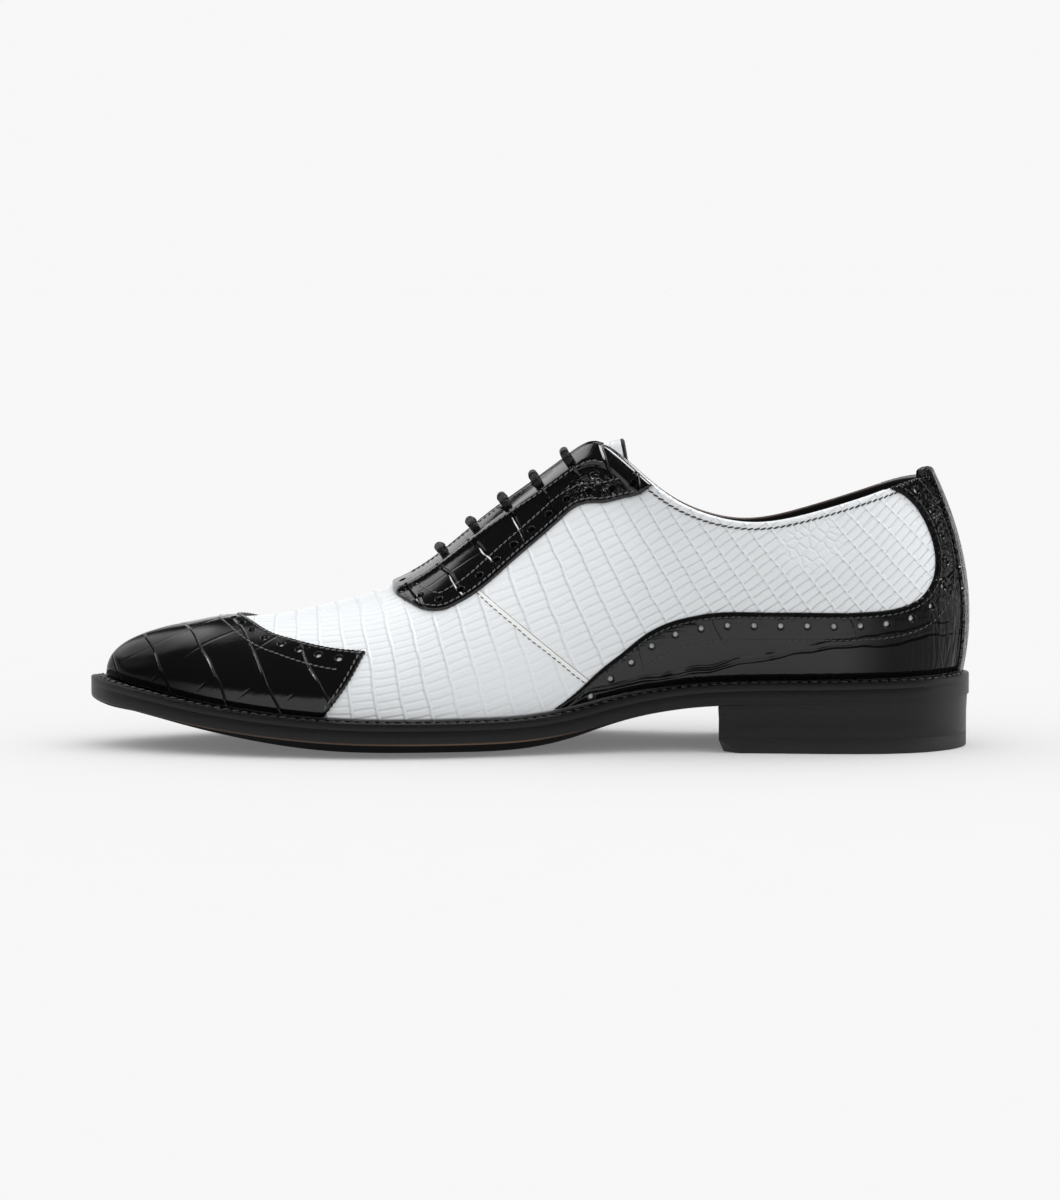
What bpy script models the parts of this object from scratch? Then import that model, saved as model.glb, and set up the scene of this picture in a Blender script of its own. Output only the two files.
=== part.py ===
"""Cap toe oxford for the right foot, toe towards -X, inner side towards -Y, standing on z = 0."""

import math

import bmesh
import bpy
import numpy as np
from mathutils.geometry import delaunay_2d_cdt

# Driving sizes in millimetres
MM = 0.001
LENGTH = 304.0
BALL_WIDTH = 102.0
INSTEP_HEIGHT = 104.6
HEEL_HEIGHT = 25.4

# Thicknesses and clearances
GAP = 0.3
PANEL_GAP = 0.5
WALL = 2.0
OVERLAY = 1.0
OUTSOLE = 4.4
WELT = 2.5
INSOLE = 3.0
TOP_LIFT = 5.2
TONGUE = 1.8
SOLE_EDGE = OUTSOLE + GAP + WELT
SOLE_BEVEL = 0.7
MERGE = 0.004

# Heel: where its breast stands, how far it slants and hollows, and what is taken off its inner front corner
BREAST = 216.0
BREAST_SKEW = 5.0
BREAST_HOLLOW = 4.0
HEEL_INSET = 0.2
HEEL_TAPER = 0.7
CORNER_CUT = np.array([7.0, 9.0, 4.6])

# Throat, tongue and back strip. Stations count from the toe, shares along the wall from the welt.
THROAT_START = 112.0
TONGUE_START = 113.0
TONGUE_END = 171.0
TONGUE_GAP = 0.6
TONGUE_REACH = (0.30, 0.40)
TONGUE_LEAN = 1.3
TONGUE_CLIMB = np.array([12.0, 0.0, 3.4])
TONGUE_NARROWING = 0.16
STRIP_HALF = 11.5
STRIP_ABOVE = 2.0
STRIP = 0.8

# Lace bars
LACE_WIDE = 2.6
LACE_THICK = 1.7
LACE_GAP = 0.5
LACE_SIDES = 8
LACE_COUNT = 5
LACE_FIRST = 122.3
LACE_PITCH = 10.7
LACE_REACH = 0.12
LACE_LEAN = 0.7
THROAT_SLOPE = np.array([0.8, 0.0, 0.6])

# Panels start just above the welt, and the facings meet just beside the ridge in front of the throat
LOW_SHARE = 0.015
SEAM_SHARE = 0.993
FACING_SPACING = 5.4
COUNTER_SPACING = 5.8
HEEL_SPACING = 11.0

# The sole's middle line stops short of the toe and the heel by these lengths
MIDLINE_ENDS = (17.0, 24.0)

# Columns crowd together round the toe and the heel, over this reach
TOE_CROWD = 1.3
HEEL_CROWD = 0.5
CROWD_REACH = 22.0

# One row per section, toe to heel, in per cent. Stations count from the toe in LENGTH. Sole half widths,
# the ridge's sideways place and the half opening count in BALL_WIDTH. The sole's lower edge, bottom, and
# its drop to the middle, crown, count in HEEL_HEIGHT. The top line and its outer dip count in INSTEP_HEIGHT.
SECTIONS = [
    # station medial lateral bottom crown top_station top ridge opening outer_dip
    (0.0, 0.0, 0.0, 66.9, 1.6, 9.5, 38.6, 0.0, 0.0, 0.0),
    (1.2, 9.6, 9.5, 64.2, 2.4, 9.9, 38.8, 0.0, 0.0, 0.0),
    (3.5, 17.3, 17.3, 59.1, 3.9, 10.7, 39.3, 0.1, 0.0, 0.0),
    (7.5, 25.9, 26.3, 50.8, 7.1, 12.5, 40.3, 0.3, 0.0, 0.0),
    (13.0, 33.9, 35.3, 39.0, 12.6, 15.8, 41.9, 0.6, 0.0, 0.0),
    (20.0, 40.8, 43.3, 28.3, 19.7, 21.1, 43.4, 1.0, 0.0, 0.0),
    (27.0, 45.3, 48.8, 21.7, 24.0, 27.3, 46.9, 1.5, 0.0, 0.0),
    (33.1, 46.7, 51.4, 19.3, 24.4, 33.2, 51.8, 1.8, 0.0, 0.0),
    (38.8, 45.7, 53.1, 18.9, 24.4, 38.8, 60.2, 2.0, 1.0, 0.0),
    (44.7, 41.8, 53.3, 18.9, 24.0, 44.6, 74.0, 2.0, 2.4, 0.0),
    (50.0, 37.1, 51.6, 21.3, 22.0, 49.7, 85.1, 2.0, 3.1, 0.0),
    (54.6, 32.9, 48.6, 29.1, 17.3, 54.1, 94.8, 1.9, 3.7, 0.0),
    (57.9, 30.6, 45.9, 38.6, 12.6, 57.4, 100.0, 1.8, 5.5, 0.0),
    (61.2, 29.0, 43.3, 48.0, 8.7, 60.5, 95.2, 1.7, 11.3, 0.2),
    (64.8, 28.2, 40.8, 55.9, 4.7, 64.1, 86.2, 1.6, 19.1, 0.7),
    (69.4, 28.0, 38.0, 62.6, 1.6, 68.6, 78.8, 1.4, 24.5, 1.4),
    (75.7, 29.0, 35.5, 66.1, 0.0, 74.8, 75.2, 1.1, 27.3, 1.8),
    (82.6, 30.8, 33.7, 67.7, 0.0, 81.4, 78.2, 0.7, 26.5, 1.3),
    (89.6, 30.6, 31.2, 69.3, 0.0, 88.0, 83.8, 0.3, 22.2, 0.6),
    (94.7, 25.3, 25.5, 70.5, 0.0, 92.1, 87.6, 0.0, 14.9, 0.1),
    (98.4, 14.5, 14.5, 71.3, 0.0, 94.5, 89.1, 0.0, 7.3, 0.0),
    (100.0, 0.0, 0.0, 71.7, 0.0, 95.3, 89.6, 0.0, 0.0, 0.0),
]

# Shape of the wall from the welt to the top line. station: per cent of LENGTH. rise, drop: handle heights
# as shares of the wall. run: share of the way in. flare, bulge: handle offsets outwards in mm. ledge: mm of
# welt in front of the wall.
WALLS = [
    # station rise flare_medial flare_lateral run drop bulge_medial bulge_lateral ledge
    (0.0, 0.55, 0.2, 0.2, 0.6, 0.2, 0.0, 0.0, 6.5),
    (3.5, 0.55, 0.4, 0.4, 0.6, 0.15, 0.0, 0.0, 6.2),
    (7.5, 0.56, 0.8, 0.8, 0.59, 0.08, 0.0, 0.0, 6.0),
    (13.0, 0.56, 1.2, 1.2, 0.57, 0.03, 0.0, 0.0, 5.6),
    (27.0, 0.54, 2.8, 2.6, 0.52, 0.01, 0.0, 0.0, 4.8),
    (38.8, 0.5, 4.0, 3.6, 0.48, 0.09, 0.0, 0.0, 4.4),
    (50.0, 0.42, 6.5, 4.0, 0.4, 0.17, 0.0, 0.0, 4.2),
    (57.9, 0.4, 8.0, 4.0, 0.3, 0.24, 1.0, 0.5, 4.2),
    (69.4, 0.36, 8.0, 4.0, 0.05, 0.34, 3.0, 2.0, 4.2),
    (82.6, 0.34, 6.0, 5.0, 0.0, 0.35, 5.5, 5.0, 4.0),
    (94.7, 0.33, 5.2, 5.2, 0.0, 0.34, 9.0, 9.0, 4.1),
    (100.0, 0.33, 5.0, 5.0, 0.0, 0.33, 11.0, 11.0, 4.3),
]

# Panel edges as the side view shows them, in mm from the toe and above the floor
CAP_EDGE = [(52.0, 44.0), (62.0, 41.0), (72.0, 38.5), (84.0, 36.4), (96.5, 35.4), (91.0, 25.0), (83.0, 12.5)]
CAP_CORNER = 4
FACING_EDGE = [
    (104.5, 55.4), (106.0, 53.0), (114.0, 49.4), (121.0, 48.6), (128.0, 51.0), (136.0, 56.4),
    (149.0, 67.0), (163.0, 79.0), (168.5, 83.0), (178.0, 84.6), (188.0, 87.0), (194.0, 90.6),
]
COUNTER_EDGE = [
    (160.0, 15.0), (172.0, 25.0), (183.0, 34.0), (193.0, 41.4), (204.0, 46.2), (219.0, 48.4),
    (240.0, 48.6), (262.0, 48.2), (276.0, 49.6), (284.5, 52.6), (289.0, 58.0), (290.5, 64.5),
    (289.5, 72.0), (286.0, 80.0), (281.0, 86.0), (274.5, 90.0),
]

SIZES = np.array([
    LENGTH, BALL_WIDTH, BALL_WIDTH, HEEL_HEIGHT, HEEL_HEIGHT,
    LENGTH, INSTEP_HEIGHT, BALL_WIDTH, BALL_WIDTH, INSTEP_HEIGHT,
])
LAST_ROW = len(SECTIONS) - 1
ROUND = 2 * LAST_ROW
TABLE = np.array(SECTIONS) * SIZES / 100.0
STATION = TABLE[:, 0]
SHAPE = np.array(WALLS)
SHAPE[:, 0] *= LENGTH / 100.0
Y_MIDDLE = 0.5 * (TABLE[:, 2].max() - TABLE[:, 1].max())
UP = np.array([0.0, 0.0, 1.0])


def closed_spline(values):
    """Second derivatives of the smooth closed curve through evenly numbered rows of values."""
    count = len(values)
    matrix = 4.0 * np.eye(count) + np.roll(np.eye(count), 1, 0) + np.roll(np.eye(count), -1, 0)
    return np.linalg.solve(matrix, 6.0 * (np.roll(values, -1, 0) - 2.0 * values + np.roll(values, 1, 0)))


def both_sides(medial, lateral):
    """A column that runs toe to heel on the inner side, then back on the outer side."""
    return np.concatenate([medial, lateral[-2:0:-1]])


def wall_column(index):
    return np.interp(STATION, SHAPE[:, 0], SHAPE[:, index])


# Every section quantity, once round the shoe
RINGS = np.stack([
    both_sides(STATION, STATION),
    both_sides(-TABLE[:, 1], TABLE[:, 2]),
    both_sides(TABLE[:, 3], TABLE[:, 3]),
    both_sides(TABLE[:, 4], TABLE[:, 4]),
    both_sides(TABLE[:, 5], TABLE[:, 5]),
    both_sides(TABLE[:, 6], TABLE[:, 6] - TABLE[:, 9]),
    both_sides(TABLE[:, 7], TABLE[:, 7]),
    both_sides(-TABLE[:, 8], TABLE[:, 8]),
    both_sides(wall_column(1), wall_column(1)),
    both_sides(wall_column(2), wall_column(3)),
    both_sides(wall_column(4), wall_column(4)),
    both_sides(wall_column(5), wall_column(5)),
    both_sides(wall_column(6), wall_column(7)),
    both_sides(wall_column(8), wall_column(8)),
], axis=1)
BENDS = closed_spline(RINGS)


def columns(row):
    """All section quantities at rows numbered round the shoe. Outer rows count down below zero."""
    row = np.mod(np.atleast_1d(np.asarray(row, float)), ROUND)
    low = np.floor(row).astype(int) % ROUND
    high = (low + 1) % ROUND
    part = (row - np.floor(row))[:, None]
    rest = 1.0 - part
    value = rest * RINGS[low] + part * RINGS[high]
    return value + ((rest**3 - rest) * BENDS[low] + (part**3 - part) * BENDS[high]) / 6.0


def edge(row):
    """Plan points of the sole's edge and the outward directions there."""
    step = 1e-3
    here = columns(row)
    along = columns(np.asarray(row) + step)[:, :2] - columns(np.asarray(row) - step)[:, :2]
    along /= np.linalg.norm(along, axis=1)[:, None]
    outward = np.stack([along[:, 1], -along[:, 0]], axis=1)
    return here[:, :2], outward, here


def surface(row, share):
    """Points of the upper's outer face. share runs from the welt, 0, to the top line, 1."""
    row = np.atleast_1d(np.asarray(row, float))
    share = np.broadcast_to(np.asarray(share, float), row.shape)[:, None]
    plan, outward, here = edge(row)
    out = np.concatenate([outward, np.zeros((len(row), 1))], axis=1)
    ledge = here[:, 13:14]
    foot = np.concatenate([plan - outward * ledge, here[:, 2:3] + SOLE_EDGE + GAP], axis=1)
    parted = np.where(here[:, 4] > THROAT_START, here[:, 7], 0.0)
    head = np.stack([here[:, 4], here[:, 6] + parted, here[:, 5]], axis=1)
    span = head - foot
    height = span[:, 2:3]
    inward = span * [1.0, 1.0, 0.0]
    first = foot + out * here[:, 9:10] + UP * (here[:, 8:9] * height)
    second = head - inward * here[:, 10:11] + out * here[:, 12:13] - UP * (here[:, 11:12] * height)
    rest = 1.0 - share
    return rest**3 * foot + 3 * rest**2 * share * first + 3 * rest * share**2 * second + share**3 * head


def is_parted(row):
    return columns(row)[:, 4] > THROAT_START


def one_normal(row, share):
    step = 1e-3
    across = surface(row + step, share) - surface(row - step, share)
    upward = surface(row, np.minimum(share + step, 1.0)) - surface(row, np.minimum(share, 1.0 - step) - step)
    normal = np.cross(across, upward)
    return normal / np.linalg.norm(normal, axis=1)[:, None]


def skin(row, share, offset):
    """Points at an offset from the upper's outer face. Both sides agree where they meet on the ridge."""
    row = np.asarray(row, float)
    share = np.broadcast_to(np.asarray(share, float), row.shape)
    normal = one_normal(row, share)
    twin = one_normal(-row, share)
    shared = (share > 0.9999) & ~is_parted(row)
    normal = np.where(shared[:, None], normal + twin, normal)
    normal /= np.linalg.norm(normal, axis=1)[:, None]
    return surface(row, share) + normal * np.broadcast_to(np.asarray(offset, float), row.shape)[:, None]


# A fine net of the inner side, for reading panel edges off the side view
NET_ROW = np.linspace(0.0, LAST_ROW, 631)
NET_SHARE = np.linspace(0.0, 1.0, 121)
NET = surface(np.repeat(NET_ROW, 121), np.tile(NET_SHARE, 631)).reshape(631, 121, 3)


def mark(station, height):
    """Row and share of the point that the inner side shows at a station and height."""
    miss = (NET[:, :, 0] - station) ** 2 + (NET[:, :, 2] - height) ** 2
    i, j = np.unravel_index(np.argmin(miss), miss.shape)
    return NET_ROW[i], NET_SHARE[j]


def top_row(station):
    """Row of the top line at a station along the ridge, throat and collar."""
    return float(np.interp(station, columns(NET_ROW)[:, 4], NET_ROW))


def marks(points):
    return np.array([mark(x, z) for x, z in points])


def smooth_line(points, count):
    """Evenly spread points on a smooth curve through the given ones."""
    points = np.asarray(points, float)
    padded = np.concatenate([[2 * points[0] - points[1]], points, [2 * points[-1] - points[-2]]])
    fine = []
    for k in range(1, len(padded) - 2):
        a, b, c, d = padded[k - 1 : k + 3]
        bend, twist = 2 * a - 5 * b + 4 * c - d, 3 * b - a - 3 * c + d
        for t in np.linspace(0.0, 1.0, 12, endpoint=False):
            fine.append(0.5 * (2 * b + (c - a) * t + bend * t**2 + twist * t**3))
    fine.append(padded[-2])
    return spread(np.array(fine), count)


def spread(line, count):
    """A line cut again at even distances."""
    length = np.concatenate([[0.0], np.cumsum(np.linalg.norm(np.diff(line, axis=0), axis=1))])
    at = np.linspace(0.0, length[-1], count)
    return np.stack([np.interp(at, length, line[:, k]) for k in range(line.shape[1])], axis=1)


# Lengths round the sole's edge, for laying panels out flat
FLAT_ROW = np.linspace(-LAST_ROW, 2 * LAST_ROW, 1891)
FLAT_LENGTH = np.concatenate(
    [[0.0], np.cumsum(np.linalg.norm(np.diff(columns(FLAT_ROW)[:, :2], axis=0), axis=1))]
)
FLAT_HEIGHT = 62.0


def to_flat(row_share):
    row_share = np.asarray(row_share, float)
    return np.stack(
        [np.interp(row_share[:, 0], FLAT_ROW, FLAT_LENGTH), row_share[:, 1] * FLAT_HEIGHT], axis=1
    )


def from_flat(points):
    return np.interp(points[:, 0], FLAT_LENGTH, FLAT_ROW), points[:, 1] / FLAT_HEIGHT


def inside(points, outline):
    """Which points lie inside a closed outline."""
    x, y = points[:, 0][:, None], points[:, 1][:, None]
    ax, ay = outline[:, 0], outline[:, 1]
    bx, by = np.roll(ax, -1), np.roll(ay, -1)
    rising = np.where(by == ay, 1e-12, by - ay)
    crossing = ((ay > y) != (by > y)) & (x < (bx - ax) * (y - ay) / rising + ax)
    return crossing.sum(axis=1) % 2 == 1


def fill(outline, spacing):
    """Triangles over a flat outline, with even points inside. The outline's points come first."""
    low, high = outline.min(axis=0), outline.max(axis=0)
    grid = []
    for j, y in enumerate(np.arange(low[1] + 0.5 * spacing, high[1], 0.87 * spacing)):
        shift = 0.25 * spacing if j % 2 else 0.75 * spacing
        grid += [(x, y) for x in np.arange(low[0] + shift, high[0], spacing)]
    grid = np.array(grid)
    if len(grid):
        near = np.linalg.norm(grid[:, None, :] - outline[None, :, :], axis=2).min(axis=1)
        grid = grid[inside(grid, outline) & (near > 0.55 * spacing)]
    points = np.concatenate([outline, grid]) if len(grid) else outline
    count = len(outline)
    edges = [(k, (k + 1) % count) for k in range(count)]
    made = delaunay_2d_cdt([tuple(p) for p in points], edges, [], 1, 1e-6)
    source = [group[0] for group in made[3]]
    faces = [tuple(source[v] for v in face) for face in made[2]]
    turned = []
    for a, b, c in faces:
        u, v = points[b] - points[a], points[c] - points[a]
        turned.append((a, b, c) if u[0] * v[1] - u[1] * v[0] > 0 else (a, c, b))
    return points, turned


def rim_of(faces):
    """Directed edges that only one face uses."""
    once = {}
    for face in faces:
        for a, b in zip(face, face[1:] + face[:1]):
            if (b, a) in once:
                del once[(b, a)]
            else:
                once[(a, b)] = True
    return list(once)


def add_object(name, points, faces, look, smooth=True):
    """One named object from points in mm measured from the toe, moved to the shared frame."""
    points = (np.asarray(points) - [LENGTH / 2, Y_MIDDLE, 0.0]) * MM
    mesh = bpy.data.meshes.new(name)
    mesh.from_pydata([tuple(p) for p in points], [], [tuple(f) for f in faces])
    body = bmesh.new()
    body.from_mesh(mesh)
    bmesh.ops.remove_doubles(body, verts=body.verts, dist=MERGE * MM)
    bmesh.ops.recalc_face_normals(body, faces=body.faces)
    body.to_mesh(mesh)
    body.free()
    mesh.materials.append(look)
    for polygon in mesh.polygons:
        polygon.use_smooth = smooth
    item = bpy.data.objects.new(name, mesh)
    bpy.context.scene.collection.objects.link(item)
    item.parent = ROOT
    return item


def thicken(name, inner, outer, faces, look):
    """A closed solid between two skins that share the same faces."""
    count = len(inner)
    under = [tuple(v + count for v in reversed(face)) for face in faces]
    sides = [(b, a, a + count, b + count) for a, b in rim_of(faces)]
    return add_object(name, np.concatenate([outer, inner]), list(faces) + under + sides, look)


def panel(name, outline, spacing, low, high, look):
    """An overlay on the upper's own surface inside an outline of rows and shares."""
    points, faces = fill(to_flat(outline), spacing)
    row, share = from_flat(points)
    return thicken(name, skin(row, share, low), skin(row, share, high), faces, look)


def mirrored(outline):
    """The same outline on the outer side."""
    return np.stack([ROUND - outline[::-1, 0], outline[::-1, 1]], axis=1)


def even_rows(count):
    """Rows along one side, closer together round the toe and the heel."""
    rows = np.linspace(0.0, LAST_ROW, 2001)
    plan = columns(rows)[:, :2]
    step = np.linalg.norm(np.diff(plan, axis=0), axis=1)
    middle = 0.5 * (plan[1:, 0] + plan[:-1, 0])
    toe, heel = np.exp(-middle / CROWD_REACH), np.exp((middle - LENGTH) / CROWD_REACH)
    step = step * (1.0 + TOE_CROWD * toe + HEEL_CROWD * heel)
    length = np.concatenate([[0.0], np.cumsum(step)])
    return np.interp(np.linspace(0.0, length[-1], count + 1), length, rows)


def make_upper(look):
    rows = even_rows(41)
    shares = np.linspace(0.0, 1.0, 10)
    count, levels = len(rows) - 1, len(shares)
    ring = np.concatenate([rows, ROUND - rows[-2:0:-1]])
    row, share = np.repeat(ring, levels), np.tile(shares, len(ring))
    joined = ~is_parted(rows)

    def index(column, level):
        column %= len(ring)
        twin = 2 * count - column
        if level == levels - 1 and column > count and joined[twin]:
            column = twin
        return column * levels + level

    faces = []
    for i in range(len(ring)):
        for j in range(levels - 1):
            corners = (index(i, j), index(i + 1, j), index(i + 1, j + 1), index(i, j + 1))
            faces.append(tuple(dict.fromkeys(corners)))
    used = sorted({v for face in faces for v in face})
    number = {v: k for k, v in enumerate(used)}
    faces = [tuple(number[v] for v in face) for face in faces]
    row, share = row[used], share[used]
    thicken("upper", skin(row, share, -WALL), skin(row, share, 0.0), faces, look)


def make_toe_cap(look):
    points = marks(CAP_EDGE)
    points[0] = (top_row(CAP_EDGE[0][0]), 1.0)
    points[-1][1] = 0.0
    top_line = smooth_line(points[: CAP_CORNER + 1], 40)
    low_line = smooth_line(points[CAP_CORNER:], 20)
    corner = points[CAP_CORNER][1]
    shares = np.concatenate([np.linspace(LOW_SHARE, corner, 6), np.linspace(corner, 1.0, 8)[1:]])
    line = np.concatenate([top_line, low_line[1:]])
    order = np.argsort(line[:, 1])
    limit = np.interp(shares, line[order, 1], line[order, 0])
    count, levels = 14, len(shares)
    part = np.linspace(-1.0, 1.0, 2 * count + 1)
    row = (part[:, None] * limit[None, :]).ravel()
    share = np.tile(shares, 2 * count + 1)

    def index(column, level):
        if level == levels - 1 and column < count:
            column = 2 * count - column
        return column * levels + level

    faces = []
    for i in range(2 * count):
        for j in range(levels - 1):
            corners = (index(i, j), index(i + 1, j), index(i + 1, j + 1), index(i, j + 1))
            faces.append(tuple(dict.fromkeys(corners)))
    used = sorted({v for face in faces for v in face})
    number = {v: k for k, v in enumerate(used)}
    faces = [tuple(number[v] for v in face) for face in faces if len(face) > 2]
    row, share = row[used], share[used]
    thicken("toe_cap", skin(row, share, PANEL_GAP), skin(row, share, GAP + OVERLAY), faces, look)


def facing_outline():
    """Rows and shares of one facing: along its lower edge, then back along the throat."""
    lower = marks(FACING_EDGE)
    lower[0] = (top_row(FACING_EDGE[0][0]), SEAM_SHARE)
    lower[-1] = (top_row(FACING_EDGE[-1][0]), 1.0)
    lower = smooth_line(lower, 30)
    upper = np.linspace(lower[-1][0], lower[0][0], 22)[1:-1]
    share = np.where(is_parted(upper), 1.0, SEAM_SHARE)
    return np.concatenate([lower, np.stack([upper, share], axis=1)])


def counter_outline():
    """Rows and shares of the counter, from its inner front point round the heel to its outer one."""
    top = marks(COUNTER_EDGE)
    top[0][1] = LOW_SHARE
    top[-1] = (top_row(COUNTER_EDGE[-1][0]), 1.0)
    flat = to_flat(smooth_line(top, 120))
    rows, shares = from_flat(spread(flat, 44))
    inner = np.stack([rows, shares], axis=1)
    outer = mirrored(inner)
    across = np.linspace(inner[-1][0], outer[0][0], 11)[1:-1]
    crest = np.stack([across, np.ones_like(across)], axis=1)
    ends = to_flat(np.array([outer[-1], inner[0]]))
    low = np.linspace(ends[0], ends[1], 56)[1:-1]
    low = np.stack(from_flat(low), axis=1)
    return np.concatenate([inner, crest, outer, low])[::-1]


def make_back_strip(look):
    """A strip over the back seam whose folded top stands above the collar."""
    middle = to_flat(np.array([[LAST_ROW, 0.0]]))[0, 0]
    sideways = np.linspace(-STRIP_HALF, STRIP_HALF, 9)
    back = columns(LAST_ROW)[0]
    above = STRIP_ABOVE / (back[5] - back[2] - SOLE_EDGE)
    shares = np.concatenate([np.linspace(LOW_SHARE, 1.0 - LOW_SHARE, 11), [1.0 + above]])
    flat = np.array([(middle + s, h * FLAT_HEIGHT) for s in sideways for h in shares])
    row, share = from_flat(flat)
    levels = len(shares)
    faces = []
    for i in range(len(sideways) - 1):
        for j in range(levels - 1):
            faces.append((i * levels + j, (i + 1) * levels + j, (i + 1) * levels + j + 1, i * levels + j + 1))
    low = 2 * GAP + OVERLAY
    thicken("back_strip", skin(row, share, low), skin(row, share, low + STRIP), faces, look)


def make_tongue(look):
    """A curved sheet under the throat, standing a little above the facings."""
    rows = np.linspace(top_row(TONGUE_START), top_row(TONGUE_END), 9)
    reach = np.linspace(*TONGUE_REACH, 9)
    steps = np.linspace(1.0, 0.0, 6)
    inner, outer = [], []
    for row, wide in zip(rows, reach):
        away = wide * steps
        for depth, store in ((-WALL - TONGUE_GAP - TONGUE, inner), (-WALL - TONGUE_GAP, outer)):
            near = skin(row + TONGUE_LEAN * away, 1.0 - away, depth)
            far = skin(ROUND - row - TONGUE_LEAN * away, 1.0 - away, depth)
            store.append(np.concatenate([near, far[::-1]]))
    for store in (inner, outer):
        last = store[-1]
        middle = last.mean(axis=0)
        for k in (0.5, 1.0):
            grown = last + TONGUE_CLIMB * k
            grown[:, 1] = middle[1] + (grown[:, 1] - middle[1]) * (1.0 - TONGUE_NARROWING * k)
            store.append(grown)
    wide = 2 * len(steps)
    faces = []
    for i in range(len(inner) - 1):
        for j in range(wide - 1):
            faces.append((i * wide + j, (i + 1) * wide + j, (i + 1) * wide + j + 1, i * wide + j + 1))
    faces = [tuple(reversed(face)) for face in faces]
    thicken("tongue", np.concatenate(inner), np.concatenate(outer), faces, look)


def make_laces(look):
    """Straight bars over the throat, clear of the facings, square to the line of the throat."""
    for k in range(LACE_COUNT):
        row = top_row(LACE_FIRST + LACE_PITCH * k)
        lift = GAP + OVERLAY + LACE_GAP + LACE_THICK / 2
        away = LACE_REACH * np.linspace(1.0, 0.0, 5)
        near = skin(row + LACE_LEAN * away, 1.0 - away, lift)
        far = skin(ROUND - row - LACE_LEAN * away, 1.0 - away, lift)
        path = smooth_line(np.concatenate([near, far[::-1]]), 10)
        along = np.gradient(path, axis=0)
        along /= np.linalg.norm(along, axis=1)[:, None]
        lifted = np.cross(along, THROAT_SLOPE)
        lifted /= -np.linalg.norm(lifted, axis=1)[:, None]
        side = np.cross(along, lifted)
        points, faces = [], []
        for centre, a, b in zip(path, side, lifted):
            for turn in np.linspace(0.0, 2 * math.pi, LACE_SIDES, endpoint=False):
                flat = 0.5 * LACE_WIDE * math.cos(turn)
                points.append(centre + a * flat + b * 0.5 * LACE_THICK * math.sin(turn))
        for i in range(len(path) - 1):
            here, there = i * LACE_SIDES, (i + 1) * LACE_SIDES
            for j in range(LACE_SIDES):
                m = (j + 1) % LACE_SIDES
                faces.append((here + j, here + m, there + m, there + j))
        faces.append(tuple(reversed(range(LACE_SIDES))))
        faces.append(tuple(range(len(points) - LACE_SIDES, len(points))))
        add_object(f"lace_bar_{k + 1}", points, faces, look)


def sole_layer(row, inset, share, lift):
    """Points of the sole at a share of the way from its middle line to an inset edge."""
    plan, outward, here = edge(row)
    folded = np.abs(np.where(row > LAST_ROW, ROUND - row, row))
    ends = np.interp([MIDLINE_ENDS[0], LENGTH - MIDLINE_ENDS[1]], STATION, np.arange(LAST_ROW + 1))
    kept = np.clip(folded, *ends)
    inner, outer = columns(kept), columns(-kept)
    middle = 0.5 * (inner[:, :2] + outer[:, :2])
    middle_low = inner[:, 2] - inner[:, 3]
    place = middle + share * (plan - outward * inset[:, None] - middle)
    reach = np.linalg.norm(place - middle, axis=1) / np.linalg.norm(plan - middle, axis=1)
    low = np.maximum(middle_low + (here[:, 2] - middle_low) * reach**3, 0.0)
    return np.concatenate([place, (low + lift)[:, None]], axis=1)


def sole_ring(count):
    rows = even_rows(count)
    return np.concatenate([rows, ROUND - rows[-2:0:-1]])


def weave(name, rings, look, closed):
    """A solid woven from rings of points round the shoe."""
    count, depth = len(rings[0]), len(rings)
    faces = []
    for j in range(depth if closed else depth - 1):
        for i in range(count):
            k, m = (i + 1) % count, (j + 1) % depth
            faces.append((j * count + i, j * count + k, m * count + k, m * count + i))
    add_object(name, np.concatenate(rings), faces, look)


def make_sole_layers(leather_edge, insole_look):
    row = sole_ring(38)
    none = np.zeros_like(row)
    ledge = columns(row)[:, 13]
    rings = [sole_layer(row, none, k, 0.0) for k in (0.0, 0.3, 0.55, 0.8)]
    rings += [sole_layer(row, none + SOLE_BEVEL, 1.0, 0.0), sole_layer(row, none, 1.0, SOLE_BEVEL)]
    rings += [sole_layer(row, none, 1.0, OUTSOLE)]
    rings += [sole_layer(row, none, k, OUTSOLE) for k in (0.75, 0.4, 0.0)]
    weave("outsole", rings, leather_edge, False)

    inner_edge = ledge + WALL + GAP
    top = edge(row)[2][:, 2] + SOLE_EDGE
    low_out = sole_layer(row, none, 1.0, OUTSOLE + GAP)
    low_in = sole_layer(row, inner_edge, 1.0, OUTSOLE + GAP)
    high_out, high_in = low_out.copy(), low_in.copy()
    high_out[:, 2] = top
    high_in[:, 2] = top
    weave("welt", [low_in, low_out, high_out, high_in], leather_edge, True)

    within = ledge + WALL + 3 * GAP
    base = OUTSOLE + 2 * GAP
    rings = [sole_layer(row, within, k, base) for k in (0.0, 0.4, 0.75, 1.0)]
    rings += [sole_layer(row, within, k, base + INSOLE) for k in (1.0, 0.5, 0.0)]
    weave("insole", rings, insole_look, False)


def heel_outline(inset):
    """Plan outline of the heel: round the back, then the hollow breast."""
    start, end = np.interp([BREAST, BREAST + BREAST_SKEW], STATION, np.arange(LAST_ROW + 1))
    rows = np.linspace(start, ROUND - end, 36)
    plan, outward, _ = edge(rows)
    back = plan - outward * inset
    across = np.linspace(0.0, 1.0, 12)[1:-1]
    first, last = back[0], back[-1]
    breast = last + (first - last) * across[:, None]
    breast[:, 0] += BREAST_HOLLOW * 4.0 * across * (1.0 - across)
    return np.concatenate([back, breast])


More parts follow.
